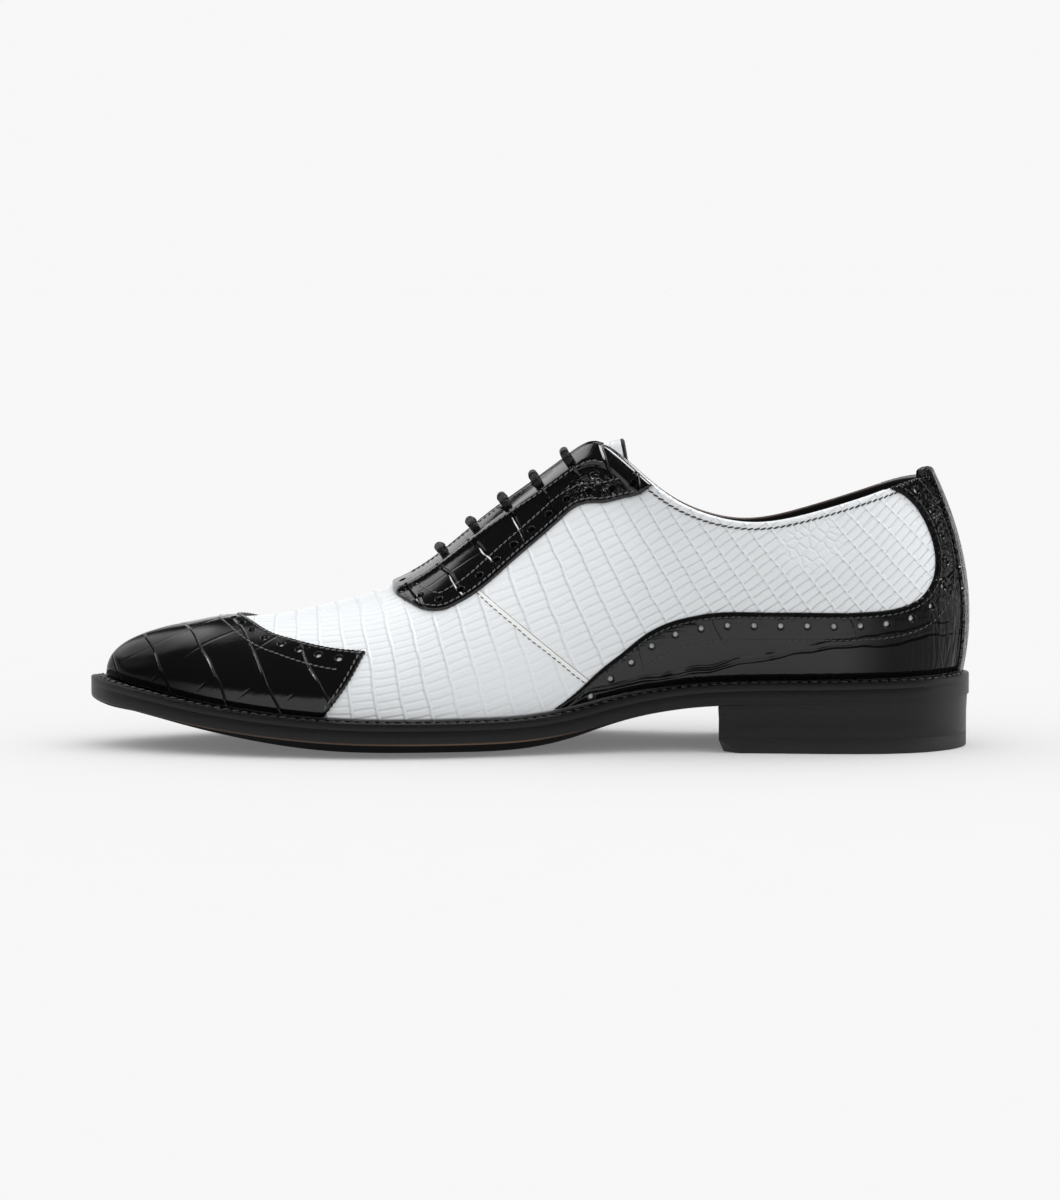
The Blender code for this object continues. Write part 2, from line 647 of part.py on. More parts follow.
def make_heel(look, lift_look):
    top, low = heel_outline(HEEL_INSET), heel_outline(HEEL_TAPER)
    points, faces = fill(top, HEEL_SPACING)
    middle = low.mean(axis=0)
    shrink = np.ptp(low[:, 1]) / np.ptp(top[:, 1])
    seat = np.interp(points[:, 0], STATION, TABLE[:, 3]) - GAP
    upper_skin = np.concatenate([points, seat[:, None]], axis=1)
    small = middle + (points - middle) * shrink
    lower_skin = np.concatenate([small, np.full((len(points), 1), TOP_LIFT + GAP)], axis=1)
    thicken("heel_block", lower_skin, upper_skin, faces, look)

    low_skin = np.concatenate([small, np.zeros((len(points), 1))], axis=1)
    high_skin = np.concatenate([small, np.full((len(points), 1), TOP_LIFT)], axis=1)
    lift = thicken("top_lift", low_skin, high_skin, faces, lift_look)
    cut_corner(lift, small[0])


def cut_corner(lift, corner):
    """Takes the inner front corner off the top lift."""
    body = bmesh.new()
    body.from_mesh(lift.data)
    where = ((corner[0] + CORNER_CUT[0] - LENGTH / 2) * MM, (corner[1] - Y_MIDDLE) * MM, 0.0)
    normal = -1.0 / CORNER_CUT
    geometry = body.verts[:] + body.edges[:] + body.faces[:]
    cut = bmesh.ops.bisect_plane(
        body, geom=geometry, plane_co=where, plane_no=normal, clear_outer=True, dist=1e-7
    )
    rim = [e for e in cut["geom_cut"] if isinstance(e, bmesh.types.BMEdge)]
    bmesh.ops.holes_fill(body, edges=rim)
    bmesh.ops.recalc_face_normals(body, faces=body.faces)
    body.to_mesh(lift.data)
    body.free()


def look(name, colour, rough, metal=0.0):
    made = bpy.data.materials.new(name)
    made.use_nodes = True
    shader = made.node_tree.nodes["Principled BSDF"]
    shader.inputs["Base Color"].default_value = (*colour, 1.0)
    shader.inputs["Roughness"].default_value = rough
    shader.inputs["Metallic"].default_value = metal
    return made


for old in list(bpy.data.objects):
    bpy.data.objects.remove(old, do_unlink=True)
ROOT = bpy.data.objects.new("shoe", None)
bpy.context.scene.collection.objects.link(ROOT)

WHITE = look("white_leather", (0.85, 0.86, 0.87), 0.42)
BLACK = look("black_leather", (0.012, 0.012, 0.014), 0.25)
EDGE = look("sole_edge", (0.015, 0.014, 0.014), 0.35)
STACK = look("heel_stack", (0.015, 0.014, 0.014), 0.4)
RUBBER = look("lift_rubber", (0.018, 0.018, 0.018), 0.6)
LINING = look("insole_leather", (0.03, 0.025, 0.022), 0.5)
CORD = look("lace_cord", (0.015, 0.015, 0.017), 0.6)

make_upper(WHITE)
make_toe_cap(BLACK)
FACING = facing_outline()
panel("facing_medial", FACING, FACING_SPACING, PANEL_GAP, GAP + OVERLAY, BLACK)
panel("facing_lateral", mirrored(FACING), FACING_SPACING, PANEL_GAP, GAP + OVERLAY, BLACK)
panel("counter", counter_outline(), COUNTER_SPACING, PANEL_GAP, GAP + OVERLAY, BLACK)
make_back_strip(BLACK)
make_tongue(WHITE)
make_laces(CORD)
make_sole_layers(EDGE, LINING)
make_heel(STACK, RUBBER)
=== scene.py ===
import math

import bmesh
import bpy
import numpy as np
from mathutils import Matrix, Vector
from mathutils.geometry import delaunay_2d_cdt
from mathutils.kdtree import KDTree


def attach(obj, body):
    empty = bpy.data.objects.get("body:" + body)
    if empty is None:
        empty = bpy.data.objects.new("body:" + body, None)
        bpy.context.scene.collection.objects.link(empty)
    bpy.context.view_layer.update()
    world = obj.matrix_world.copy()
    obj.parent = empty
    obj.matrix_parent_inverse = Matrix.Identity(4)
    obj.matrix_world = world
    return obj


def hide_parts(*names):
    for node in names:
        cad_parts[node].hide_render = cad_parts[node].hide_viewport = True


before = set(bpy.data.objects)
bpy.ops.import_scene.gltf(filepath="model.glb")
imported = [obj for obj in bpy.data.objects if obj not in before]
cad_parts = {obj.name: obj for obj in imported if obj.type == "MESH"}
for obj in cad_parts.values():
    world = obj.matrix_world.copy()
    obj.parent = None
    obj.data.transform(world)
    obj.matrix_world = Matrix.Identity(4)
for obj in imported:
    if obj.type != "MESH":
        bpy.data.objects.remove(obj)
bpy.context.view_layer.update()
print("frame loaded,", len(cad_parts), "nodes")

mm = 0.001

# sizes of the last and the bottom, in millimetres, as the solids have them
last = {
    "length": 304.0,
    "ballWidth": 102.0,
    "instepHeight": 104.6,
    "heelHeight": 25.4,
    "wall": 2.0,
    "overlay": 1.3,
    "outsole": 4.4,
    "welt": 2.5,
    "insole": 3.0,
    "topLift": 5.2,
    "gap": 0.3,
    "throatStart": 112.0,
}
soleEdge = last["outsole"] + last["gap"] + last["welt"]

# per cent of the driving sizes, toe to heel
sections = [
    # station medial lateral bottom crown topStation top ridge opening outerDip
    (0, 0, 0, 66.9, 1.6, 9.5, 38.6, 0, 0, 0),
    (1.2, 9.6, 9.5, 64.2, 2.4, 9.9, 38.8, 0, 0, 0),
    (3.5, 17.3, 17.3, 59.1, 3.9, 10.7, 39.3, 0.1, 0, 0),
    (7.5, 25.9, 26.3, 50.8, 7.1, 12.5, 40.3, 0.3, 0, 0),
    (13, 33.9, 35.3, 39, 12.6, 15.8, 41.9, 0.6, 0, 0),
    (20, 40.8, 43.3, 28.3, 19.7, 21.1, 43.4, 1, 0, 0),
    (27, 45.3, 48.8, 21.7, 24, 27.3, 46.9, 1.5, 0, 0),
    (33.1, 46.7, 51.4, 19.3, 24.4, 33.2, 51.8, 1.8, 0, 0),
    (38.8, 45.7, 53.1, 18.9, 24.4, 38.8, 60.2, 2, 1, 0),
    (44.7, 41.8, 53.3, 18.9, 24, 44.6, 74, 2, 2.4, 0),
    (50, 37.1, 51.6, 21.3, 22, 49.7, 85.1, 2, 3.1, 0),
    (54.6, 32.9, 48.6, 29.1, 17.3, 54.1, 94.8, 1.9, 3.7, 0),
    (57.9, 30.6, 45.9, 38.6, 12.6, 57.4, 100, 1.8, 5.5, 0),
    (61.2, 29, 43.3, 48, 8.7, 60.5, 95.2, 1.7, 11.3, 0.2),
    (64.8, 28.2, 40.8, 55.9, 4.7, 64.1, 86.2, 1.6, 19.1, 0.7),
    (69.4, 28, 38, 62.6, 1.6, 68.6, 78.8, 1.4, 24.5, 1.4),
    (75.7, 29, 35.5, 66.1, 0, 74.8, 75.2, 1.1, 27.3, 1.8),
    (82.6, 30.8, 33.7, 67.7, 0, 81.4, 78.2, 0.7, 26.5, 1.3),
    (89.6, 30.6, 31.2, 69.3, 0, 88, 83.8, 0.3, 22.2, 0.6),
    (94.7, 25.3, 25.5, 70.5, 0, 92.1, 87.6, 0, 14.9, 0.1),
    (98.4, 14.5, 14.5, 71.3, 0, 94.5, 89.1, 0, 7.3, 0),
    (100, 0, 0, 71.7, 0, 95.3, 89.6, 0, 0, 0),
]

# wall from the welt to the top line: handle heights and ways in as shares, flare, bulge and ledge in mm
walls = [
    # station rise flareMedial flareLateral run drop bulgeMedial bulgeLateral ledge
    (0, 0.55, 0.2, 0.2, 0.6, 0.2, 0, 0, 6.5),
    (3.5, 0.55, 0.4, 0.4, 0.6, 0.15, 0, 0, 6.2),
    (7.5, 0.56, 0.8, 0.8, 0.59, 0.08, 0, 0, 6),
    (13, 0.56, 1.2, 1.2, 0.57, 0.03, 0, 0, 5.6),
    (27, 0.54, 2.8, 2.6, 0.52, 0.01, 0, 0, 4.8),
    (38.8, 0.5, 4, 3.6, 0.48, 0.09, 0, 0, 4.4),
    (50, 0.42, 6.5, 4, 0.4, 0.17, 0, 0, 4.2),
    (57.9, 0.4, 8, 4, 0.3, 0.24, 1, 0.5, 4.2),
    (69.4, 0.36, 8, 4, 0.05, 0.34, 3, 2, 4.2),
    (82.6, 0.34, 6, 5, 0, 0.35, 5.5, 5, 4),
    (94.7, 0.33, 5.2, 5.2, 0, 0.34, 9, 9, 4.1),
    (100, 0.33, 5, 5, 0, 0.33, 11, 11, 4.3),
]

driving = [last[key] for key in (
    "length", "ballWidth", "ballWidth", "heelHeight", "heelHeight",
    "length", "instepHeight", "ballWidth", "ballWidth", "instepHeight")]
table = np.array(sections) * driving / 100.0
station = table[:, 0]
shape = np.array(walls)
shape[:, 0] *= last["length"] / 100.0
lastRow = len(sections) - 1
fullRound = 2 * lastRow
yMiddle = 0.5 * (table[:, 2].max() - table[:, 1].max())
middlePlace = np.array([last["length"] / 2, yMiddle, 0.0])
upward = np.array([0.0, 0.0, 1.0])


def closedSpline(values):
    count = len(values)
    matrix = 4.0 * np.eye(count) + np.roll(np.eye(count), 1, 0) + np.roll(np.eye(count), -1, 0)
    return np.linalg.solve(matrix, 6.0 * (np.roll(values, -1, 0) - 2.0 * values + np.roll(values, 1, 0)))


def bothSides(medial, lateral=None):
    lateral = medial if lateral is None else lateral
    return np.concatenate([medial, lateral[-2:0:-1]])


def wallColumn(number):
    return np.interp(station, shape[:, 0], shape[:, number])


columns = {
    "x": bothSides(station),
    "y": bothSides(-table[:, 1], table[:, 2]),
    "bottom": bothSides(table[:, 3]),
    "crown": bothSides(table[:, 4]),
    "topX": bothSides(table[:, 5]),
    "top": bothSides(table[:, 6], table[:, 6] - table[:, 9]),
    "ridge": bothSides(table[:, 7]),
    "opening": bothSides(-table[:, 8], table[:, 8]),
    "rise": bothSides(wallColumn(1)),
    "flare": bothSides(wallColumn(2), wallColumn(3)),
    "run": bothSides(wallColumn(4)),
    "drop": bothSides(wallColumn(5)),
    "bulge": bothSides(wallColumn(6), wallColumn(7)),
    "ledge": bothSides(wallColumn(8)),
}
rings = np.stack(list(columns.values()), axis=1)
bends = closedSpline(rings)


def columnsAt(row):
    row = np.mod(np.atleast_1d(np.asarray(row, float)), fullRound)
    low = np.floor(row).astype(int) % fullRound
    high = (low + 1) % fullRound
    part = (row - np.floor(row))[:, None]
    rest = 1.0 - part
    value = rest * rings[low] + part * rings[high]
    value += ((rest**3 - rest) * bends[low] + (part**3 - part) * bends[high]) / 6.0
    return dict(zip(columns, value.T))


def planAt(row):
    here = columnsAt(row)
    return np.stack([here["x"], here["y"]], axis=1)


def outwardAt(row):
    step = 1e-3
    along = planAt(row + step) - planAt(row - step)
    along /= np.linalg.norm(along, axis=1)[:, None]
    return np.stack([along[:, 1], -along[:, 0]], axis=1)


def isParted(row):
    return columnsAt(row)["topX"] > last["throatStart"]


# outer face of the upper: row runs round the shoe, share from the welt (0) to the top line (1)
def surfaceAt(row, share):
    row = np.atleast_1d(np.asarray(row, float))
    share = np.broadcast_to(np.asarray(share, float), row.shape)[:, None]
    here = {name: values[:, None] for name, values in columnsAt(row).items()}
    outward = outwardAt(row)
    out = np.hstack([outward, np.zeros((len(row), 1))])
    foot = np.hstack([planAt(row) - outward * here["ledge"], here["bottom"] + soleEdge + last["gap"]])
    parted = np.where(here["topX"] > last["throatStart"], here["opening"], 0.0)
    head = np.hstack([here["topX"], here["ridge"] + parted, here["top"]])
    span = head - foot
    height = span[:, 2:3]
    first = foot + out * here["flare"] + upward * (here["rise"] * height)
    second = head - span * [1.0, 1.0, 0.0] * here["run"] + out * here["bulge"]
    second = second - upward * (here["drop"] * height)
    rest = 1.0 - share
    return rest**3 * foot + 3 * rest**2 * share * first + 3 * rest * share**2 * second + share**3 * head


def slopesAt(row, share):
    step = 1e-3
    across = (surfaceAt(row + step, share) - surfaceAt(row - step, share)) / (2 * step)
    high, low = np.minimum(share + step, 1.0), np.minimum(share, 1.0 - step) - step
    climb = (surfaceAt(row, high) - surfaceAt(row, low)) / (high - low)[:, None]
    return across, climb


def normalAt(row, share):
    normal = np.cross(*slopesAt(row, share))
    return normal / np.linalg.norm(normal, axis=1)[:, None]


def skinAt(row, share, offset, wantNormal=False):
    row = np.asarray(row, float)
    share = np.broadcast_to(np.asarray(share, float), row.shape)
    normal = normalAt(row, share)
    shared = (share > 0.9999) & ~isParted(row)
    normal = np.where(shared[:, None], normal + normalAt(-row, share), normal)
    normal /= np.linalg.norm(normal, axis=1)[:, None]
    points = surfaceAt(row, share) + normal * np.broadcast_to(np.asarray(offset, float), row.shape)[:, None]
    return (points, normal) if wantNormal else points


def surfaceNet(rows, shares):
    points = surfaceAt(np.repeat(rows, len(shares)), np.tile(shares, len(rows)))
    return points.reshape(len(rows), len(shares), 3)


def lengthAlong(points):
    return np.concatenate([[0.0], np.cumsum(np.linalg.norm(np.diff(points, axis=0), axis=1))])


# flat layout: length round the sole's edge, and true height up the wall
flatRow = np.linspace(-lastRow, 2 * lastRow, 1261)
flatLength = lengthAlong(planAt(flatRow))
climbNet = surfaceNet(flatRow, np.linspace(0.0, 1.0, 25))
wallLength = np.linalg.norm(np.diff(climbNet, axis=1), axis=2).sum(axis=1)

# fine net of the inner side, to read marks off the side view
netRow = np.linspace(0.0, lastRow, 631)
netShare = np.linspace(0.0, 1.0, 121)
net = surfaceNet(netRow, netShare)


def folded(row):
    return np.abs(np.where(row > lastRow, fullRound - row, row))


def tallAt(row):
    return np.interp(row, flatRow, wallLength)


def toFlat(rowShare):
    row, share = np.asarray(rowShare, float).T
    return np.stack([np.interp(row, flatRow, flatLength), share * tallAt(row)], axis=1)


def fromFlat(points):
    row = np.interp(points[:, 0], flatLength, flatRow)
    return row, np.clip(points[:, 1] / tallAt(row), 0.0, 1.0)


def marks(points):
    found = []
    for x, z in points:
        miss = (net[:, :, 0] - x) ** 2 + (net[:, :, 2] - z) ** 2
        i, j = np.unravel_index(np.argmin(miss), miss.shape)
        found.append((netRow[i], netShare[j]))
    return np.array(found)


def topRow(place):
    return float(np.interp(place, columnsAt(netRow)["topX"], netRow))


def edgeRow(place):
    return np.interp(place, station, np.arange(lastRow + 1))


def lapShadowAt(line, length, at):
    return np.stack([np.interp(at, length, column) for column in line.T], axis=1)


def smoothLine(points, count):
    points = np.asarray(points, float)
    padded = np.concatenate([[2 * points[0] - points[1]], points, [2 * points[-1] - points[-2]]])
    fine = []
    for k in range(1, len(padded) - 2):
        a, b, c, d = padded[k - 1:k + 3]
        bend, twist = 2 * a - 5 * b + 4 * c - d, 3 * b - a - 3 * c + d
        for t in np.linspace(0.0, 1.0, 16, endpoint=False):
            fine.append(0.5 * (2 * b + (c - a) * t + bend * t**2 + twist * t**3))
    fine = np.array(fine + [padded[-2]])
    length = lengthAlong(fine)
    return lapShadowAt(fine, length, np.linspace(0.0, length[-1], count))


# a line of rows and shares, cut again at even true distances
def evenLine(line, pitch):
    length = lengthAlong(surfaceAt(*line.T))
    count = max(2, int(round(length[-1] / pitch)) + 1)
    return lapShadowAt(line, length, np.linspace(0.0, length[-1], count))


# the same line moved sideways over the surface by a distance in mm
def insetLine(line, distance):
    line = np.asarray(line, float)
    across, climb = slopesAt(line[:, 0], np.clip(line[:, 1], 0.002, 0.998))
    e, f, g = (across * across).sum(1), (across * climb).sum(1), (climb * climb).sum(1)
    a, b = np.gradient(line, axis=0).T
    a, b = -(f * a + g * b), e * a + f * b
    size = np.sqrt(e * a**2 + 2 * f * a * b + g * b**2)
    return line + np.stack([a, b], axis=1) / size[:, None] * distance


def inside(points, outline):
    x, y = points[:, 0][:, None], points[:, 1][:, None]
    ax, ay = outline[:, 0], outline[:, 1]
    bx, by = np.roll(ax, -1), np.roll(ay, -1)
    rising = np.where(by == ay, 1e-12, by - ay)
    crossing = ((ay > y) != (by > y)) & (x < (bx - ax) * (y - ay) / rising + ax)
    return crossing.sum(axis=1) % 2 == 1


# the inset with the sign that leads into the outline
def sideOf(line, inset, outline):
    moved = toFlat(insetLine(line, inset))
    return inset if inside(moved, toFlat(outline)).mean() > 0.5 else -inset


def mirrored(line, about=fullRound):
    return np.stack([about - line[::-1, 0], line[::-1, 1]], axis=1)


def levelLine(start, end, count, share):
    rows = np.linspace(start, end, count)[1:-1]
    return np.stack([rows, np.full_like(rows, share)], axis=1)


crowding = {"toe": 1.3, "heel": 0.5, "within": 22.0}


# rows all the way round, closer together at toe and heel
def evenRing(count):
    rows = np.linspace(0.0, lastRow, 2001)
    plan = planAt(rows)
    middle = 0.5 * (plan[1:, 0] + plan[:-1, 0])
    step = np.linalg.norm(np.diff(plan, axis=0), axis=1)
    toe = crowding["toe"] * np.exp(-middle / crowding["within"])
    heelEnd = crowding["heel"] * np.exp((middle - last["length"]) / crowding["within"])
    step *= 1.0 + toe + heelEnd
    length = np.concatenate([[0.0], np.cumsum(step)])
    even = np.interp(np.linspace(0.0, length[-1], count + 1), length, rows)
    return bothSides(even, fullRound - even)


def netFaces(lines, across, closedLines, closedAcross):
    faces = []
    for i in range(lines if closedLines else lines - 1):
        k = (i + 1) % lines
        for j in range(across if closedAcross else across - 1):
            m = (j + 1) % across
            faces.append((i * across + j, k * across + j, k * across + m, i * across + m))
    return faces


def rimOf(faces):
    once = {}
    for face in faces:
        for a, b in zip(face, face[1:] + face[:1]):
            if (b, a) in once:
                del once[(b, a)]
            else:
                once[(a, b)] = True
    return list(once)


def turnedOver(faces, count):
    return [tuple(v + count for v in reversed(face)) for face in faces]


# a skin and its lower side, joined along the rim
def closedSheet(faces, count):
    return faces + turnedOver(faces, count) + [(b, a, a + count, b + count) for a, b in rimOf(faces)]


# rings of points as a tube with both ends closed
def closedTube(levels):
    sides = len(levels[0])
    faces = netFaces(len(levels), sides, False, True)
    end = (len(levels) - 1) * sides
    return np.concatenate(levels), faces + [tuple(reversed(range(sides))), tuple(range(end, end + sides))]


# joins points that fall together, and drops the faces that this flattens
def weld(points, faces, *others):
    keys = np.round(points / 0.01).astype(np.int64)
    _, first, number = np.unique(keys, axis=0, return_index=True, return_inverse=True)
    number = number.ravel()
    joined = []
    for face in faces:
        kept = tuple(dict.fromkeys(int(number[v]) for v in face))
        if len(kept) > 2:
            joined.append(kept)
    return [points[first], joined] + [other[first] for other in others]


def nearest(points, others):
    points, others = [np.pad(p, ((0, 0), (0, 3 - p.shape[1]))) for p in (points, others)]
    tree = KDTree(len(others))
    for k, place in enumerate(others):
        tree.insert(place, k)
    tree.balance()
    return np.array([tree.find(place)[2] for place in points])


def addObject(name, mesh):
    made = bpy.data.objects.new(name, mesh)
    bpy.context.scene.collection.objects.link(made)
    return made


def creaseSharp(piece, degrees):
    piece.data.set_sharp_from_angle(angle=math.radians(degrees))


# one mesh object from points in mm measured from the toe; skins holds one material number per face
def makePiece(name, points, faces, skinLooks, skins=None, maps=None, fields=None, sharp=None):
    mesh = bpy.data.meshes.new(name)
    mesh.from_pydata(((np.asarray(points) - middlePlace) * mm).tolist(), [], [list(f) for f in faces])
    for look in skinLooks:
        mesh.materials.append(look)
    if skins is not None:
        mesh.polygons.foreach_set("material_index", np.asarray(skins, np.int32))
    body = bmesh.new()
    body.from_mesh(mesh)
    bmesh.ops.recalc_face_normals(body, faces=body.faces)
    body.to_mesh(mesh)
    body.free()
    mesh.polygons.foreach_set("use_smooth", np.ones(len(mesh.polygons), bool))
    corner = np.zeros(len(mesh.loops), np.int32)
    mesh.loops.foreach_get("vertex_index", corner)
    for label, values in (maps or {}).items():
        layer = mesh.uv_layers.new(name=label)
        layer.data.foreach_set("uv", np.asarray(values, np.float32)[corner].ravel())
    for label, values in (fields or {}).items():
        field = mesh.attributes.new(label, "FLOAT", "POINT")
        field.data.foreach_set("value", np.asarray(values, np.float32))
    piece = addObject(name, mesh)
    if sharp is not None:
        creaseSharp(piece, sharp)
    return piece


def finishPiece(piece, slot, *nodes):
    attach(piece, "root")
    if nodes:
        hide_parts(*nodes)


# a value on its way through a node tree: sums and products add Math nodes
class Wire:
    def __init__(self, graph, socket):
        self.graph = graph
        self.socket = socket

    def __add__(self, other):
        return self.graph.calc("ADD", self, other)

    def __mul__(self, other):
        return self.graph.calc("MULTIPLY", self, other)

    def __sub__(self, other):
        return self.graph.calc("SUBTRACT", self, other)

    def __rsub__(self, other):
        return self.graph.calc("SUBTRACT", other, self)

    def ramp(self, low, high, start=0.0, end=1.0):
        return self.graph.value("ShaderNodeMapRange", "Result", {"interpolation_type": "SMOOTHSTEP"},
                                Value=self, From_Min=low, From_Max=high, To_Min=start, To_Max=end)


# a node tree, with short ways to add to it
class Graph:
    def __init__(self, tree):
        self.tree = tree

    def feed(self, socket, value):
        if isinstance(value, Wire):
            value = value.socket
        if isinstance(value, bpy.types.NodeSocket):
            self.tree.links.new(value, socket)
        elif socket.type == "RGBA":
            socket.default_value = (*value, 1.0)
        else:
            socket.default_value = value

    def fill(self, node, sockets):
        for key, value in sockets.items():
            self.feed(node.inputs[key.replace("_", " ")], value)

    def add(self, kind, settings=None, **sockets):
        node = self.tree.nodes.new(kind)
        for key, value in (settings or {}).items():
            setattr(node, key, value)
        self.fill(node, sockets)
        return node

    def value(self, kind, output, settings=None, **sockets):
        return Wire(self, self.add(kind, settings, **sockets).outputs[output])

    def calc(self, operation, *values, kind="Math", output=0):
        node = self.add("ShaderNode" + kind, {"operation": operation})
        for socket, value in zip(node.inputs, values):
            self.feed(socket, value)
        return Wire(self, node.outputs[output])

    def mix(self, share, first, second, kind="FLOAT", start=2, output=0):
        node = self.add("ShaderNodeMix", {"data_type": kind})
        for k, value in zip((0, start, start + 1), (share, first, second)):
            self.feed(node.inputs[k], value)
        return Wire(self, node.outputs[output])

    def mixColour(self, share, first, second):
        return self.mix(share, first, second, "RGBA", 6, 2)

    def split(self, vector):
        return [Wire(self, socket) for socket in self.add("ShaderNodeSeparateXYZ", Vector=vector).outputs]


# a material with its principled shader
class Look(Graph):
    def __init__(self, name, rough, coat=0.0, coatRough=0.1, sheen=0.0, level=0.5):
        self.material = bpy.data.materials.new(name)
        self.material.use_nodes = True
        super().__init__(self.material.node_tree)
        self.shader = self.tree.nodes["Principled BSDF"]
        self.set(Roughness=rough, Coat_Weight=coat, Coat_Roughness=coatRough, Sheen_Weight=sheen,
                 Specular_IOR_Level=level)

    def set(self, **sockets):
        self.fill(self.shader, sockets)

    def place(self):
        return self.value("ShaderNodeTexCoord", "Object")

    def uv(self, name):
        return self.value("ShaderNodeUVMap", "UV", {"uv_map": name})

    def field(self, name):
        return self.value("ShaderNodeAttribute", "Fac", {"attribute_name": name})

    def stretched(self, place, scale):
        return self.value("ShaderNodeMapping", "Vector", Vector=place, Scale=scale)

    def noise(self, place, scale, detail=2.0, rough=0.5):
        return self.value("ShaderNodeTexNoise", "Fac", {"noise_dimensions": "3D"},
                          Vector=place, Scale=scale, Detail=detail, Roughness=rough)

    # noise folded over at its middle, which gives sharp creases between soft swellings
    def creased(self, place, scale):
        return self.calc("ABSOLUTE", self.noise(place, scale, 1.0) - 0.5) * 4.0

    # moves a flat place about by a soft noise, so that straight rows look grown
    def swayed(self, place, scale, amount):
        noise = self.value("ShaderNodeTexNoise", "Color", {"noise_dimensions": "2D"},
                           Vector=place, Scale=scale, Detail=2.0, Roughness=0.6)
        centred = self.calc("SUBTRACT", noise, (0.5, 0.5, 0.5), kind="VectorMath")
        return self.calc("MULTIPLY_ADD", centred, (amount, amount, 0.0), place, kind="VectorMath")

    def bump(self, height, depth, coatToo=False):
        normal = self.value("ShaderNodeBump", "Normal", Strength=1.0, Distance=depth, Height=height)
        self.set(Normal=normal)
        if coatToo:
            self.set(Coat_Normal=normal)


# white lizard leather: bands of small flat tiles, told apart at the side seam
lizard = {
    "tileLong": 7.2,
    "tileShort": 2.95,
    "towardsHeel": (0.01, 0.085),
    "groove": (0.85, 0.55),
    "grooveDeep": (0.42, 0.85),
    "step": {"rise": 0.9, "fall": 0.7},
    "sway": {"scale": 0.07, "amount": 1.4},
    "depth": 0.00032,
    "pores": {"scale": 1500.0, "amount": 0.10},
    "waves": {"scale": 160.0, "amount": 0.35},
    "tint": 0.15,
    "rough": {"tile": 0.34, "groove": 0.2},
    "white": (0.575, 0.593, 0.606),
    "shade": (0.40, 0.43, 0.45),
    "shadeShare": 0.12,
    "stepShade": (1.36, 0.20),
    # seam: a plain cream band beside the lap, and a dark line at the vamp's edge that is a painted shadow
    "seam": {"cream": (0.80, 0.77, 0.69), "creamShare": 0.2, "band": 1.4, "lap": 1.6,
             "dark": (0.16, 0.13, 0.10), "lapShadowShare": 0.7, "lapShadowAt": 0.12, "lapShadowSpread": (0.05, 0.24)},
    "worn": {"place": (-0.003, 0.0, 0.014), "near": 0.014, "far": 0.036, "left": 0.25},
    # foot: colour darkened over the lowest mm above the welt, a painted shadow of the crevice between upper and
    # welt
    "foot": {"creviceShadow": (0.02, 0.02, 0.02), "share": 0.9, "tall": (0.5, 1.4)},
    "patch": {"place": (0.095, 0.0, 0.073), "near": 0.006, "far": 0.013, "scale": 0.29, "line": 0.22,
              "deep": 0.8},
}


def lizardTiles(look, mapName, heelward):
    moved = look.swayed(look.uv(mapName), lizard["sway"]["scale"], lizard["sway"]["amount"])
    tall = lizard["tileLong"]
    brick = look.add("ShaderNodeTexBrick", {"offset": 0.37, "offset_frequency": 2}, Vector=moved,
                     Color1=(0.2, 0.2, 0.2), Color2=(0.8, 0.8, 0.8), Scale=1.0, Mortar_Size=heelward("groove"),
                     Mortar_Smooth=1.0, Bias=0.0, Brick_Width=lizard["tileShort"], Row_Height=tall)
    band = look.calc("FLOORED_MODULO", look.split(moved)[1], tall)
    rise = band.ramp(tall - lizard["step"]["rise"], tall)
    fall = band.ramp(0.0, lizard["step"]["fall"], 1.0, 0.0)
    tint = look.value("ShaderNodeSeparateColor", 0, Color=brick.outputs["Color"])
    return brick.outputs["Fac"], rise + fall, tint, rise * (1.0 - rise)


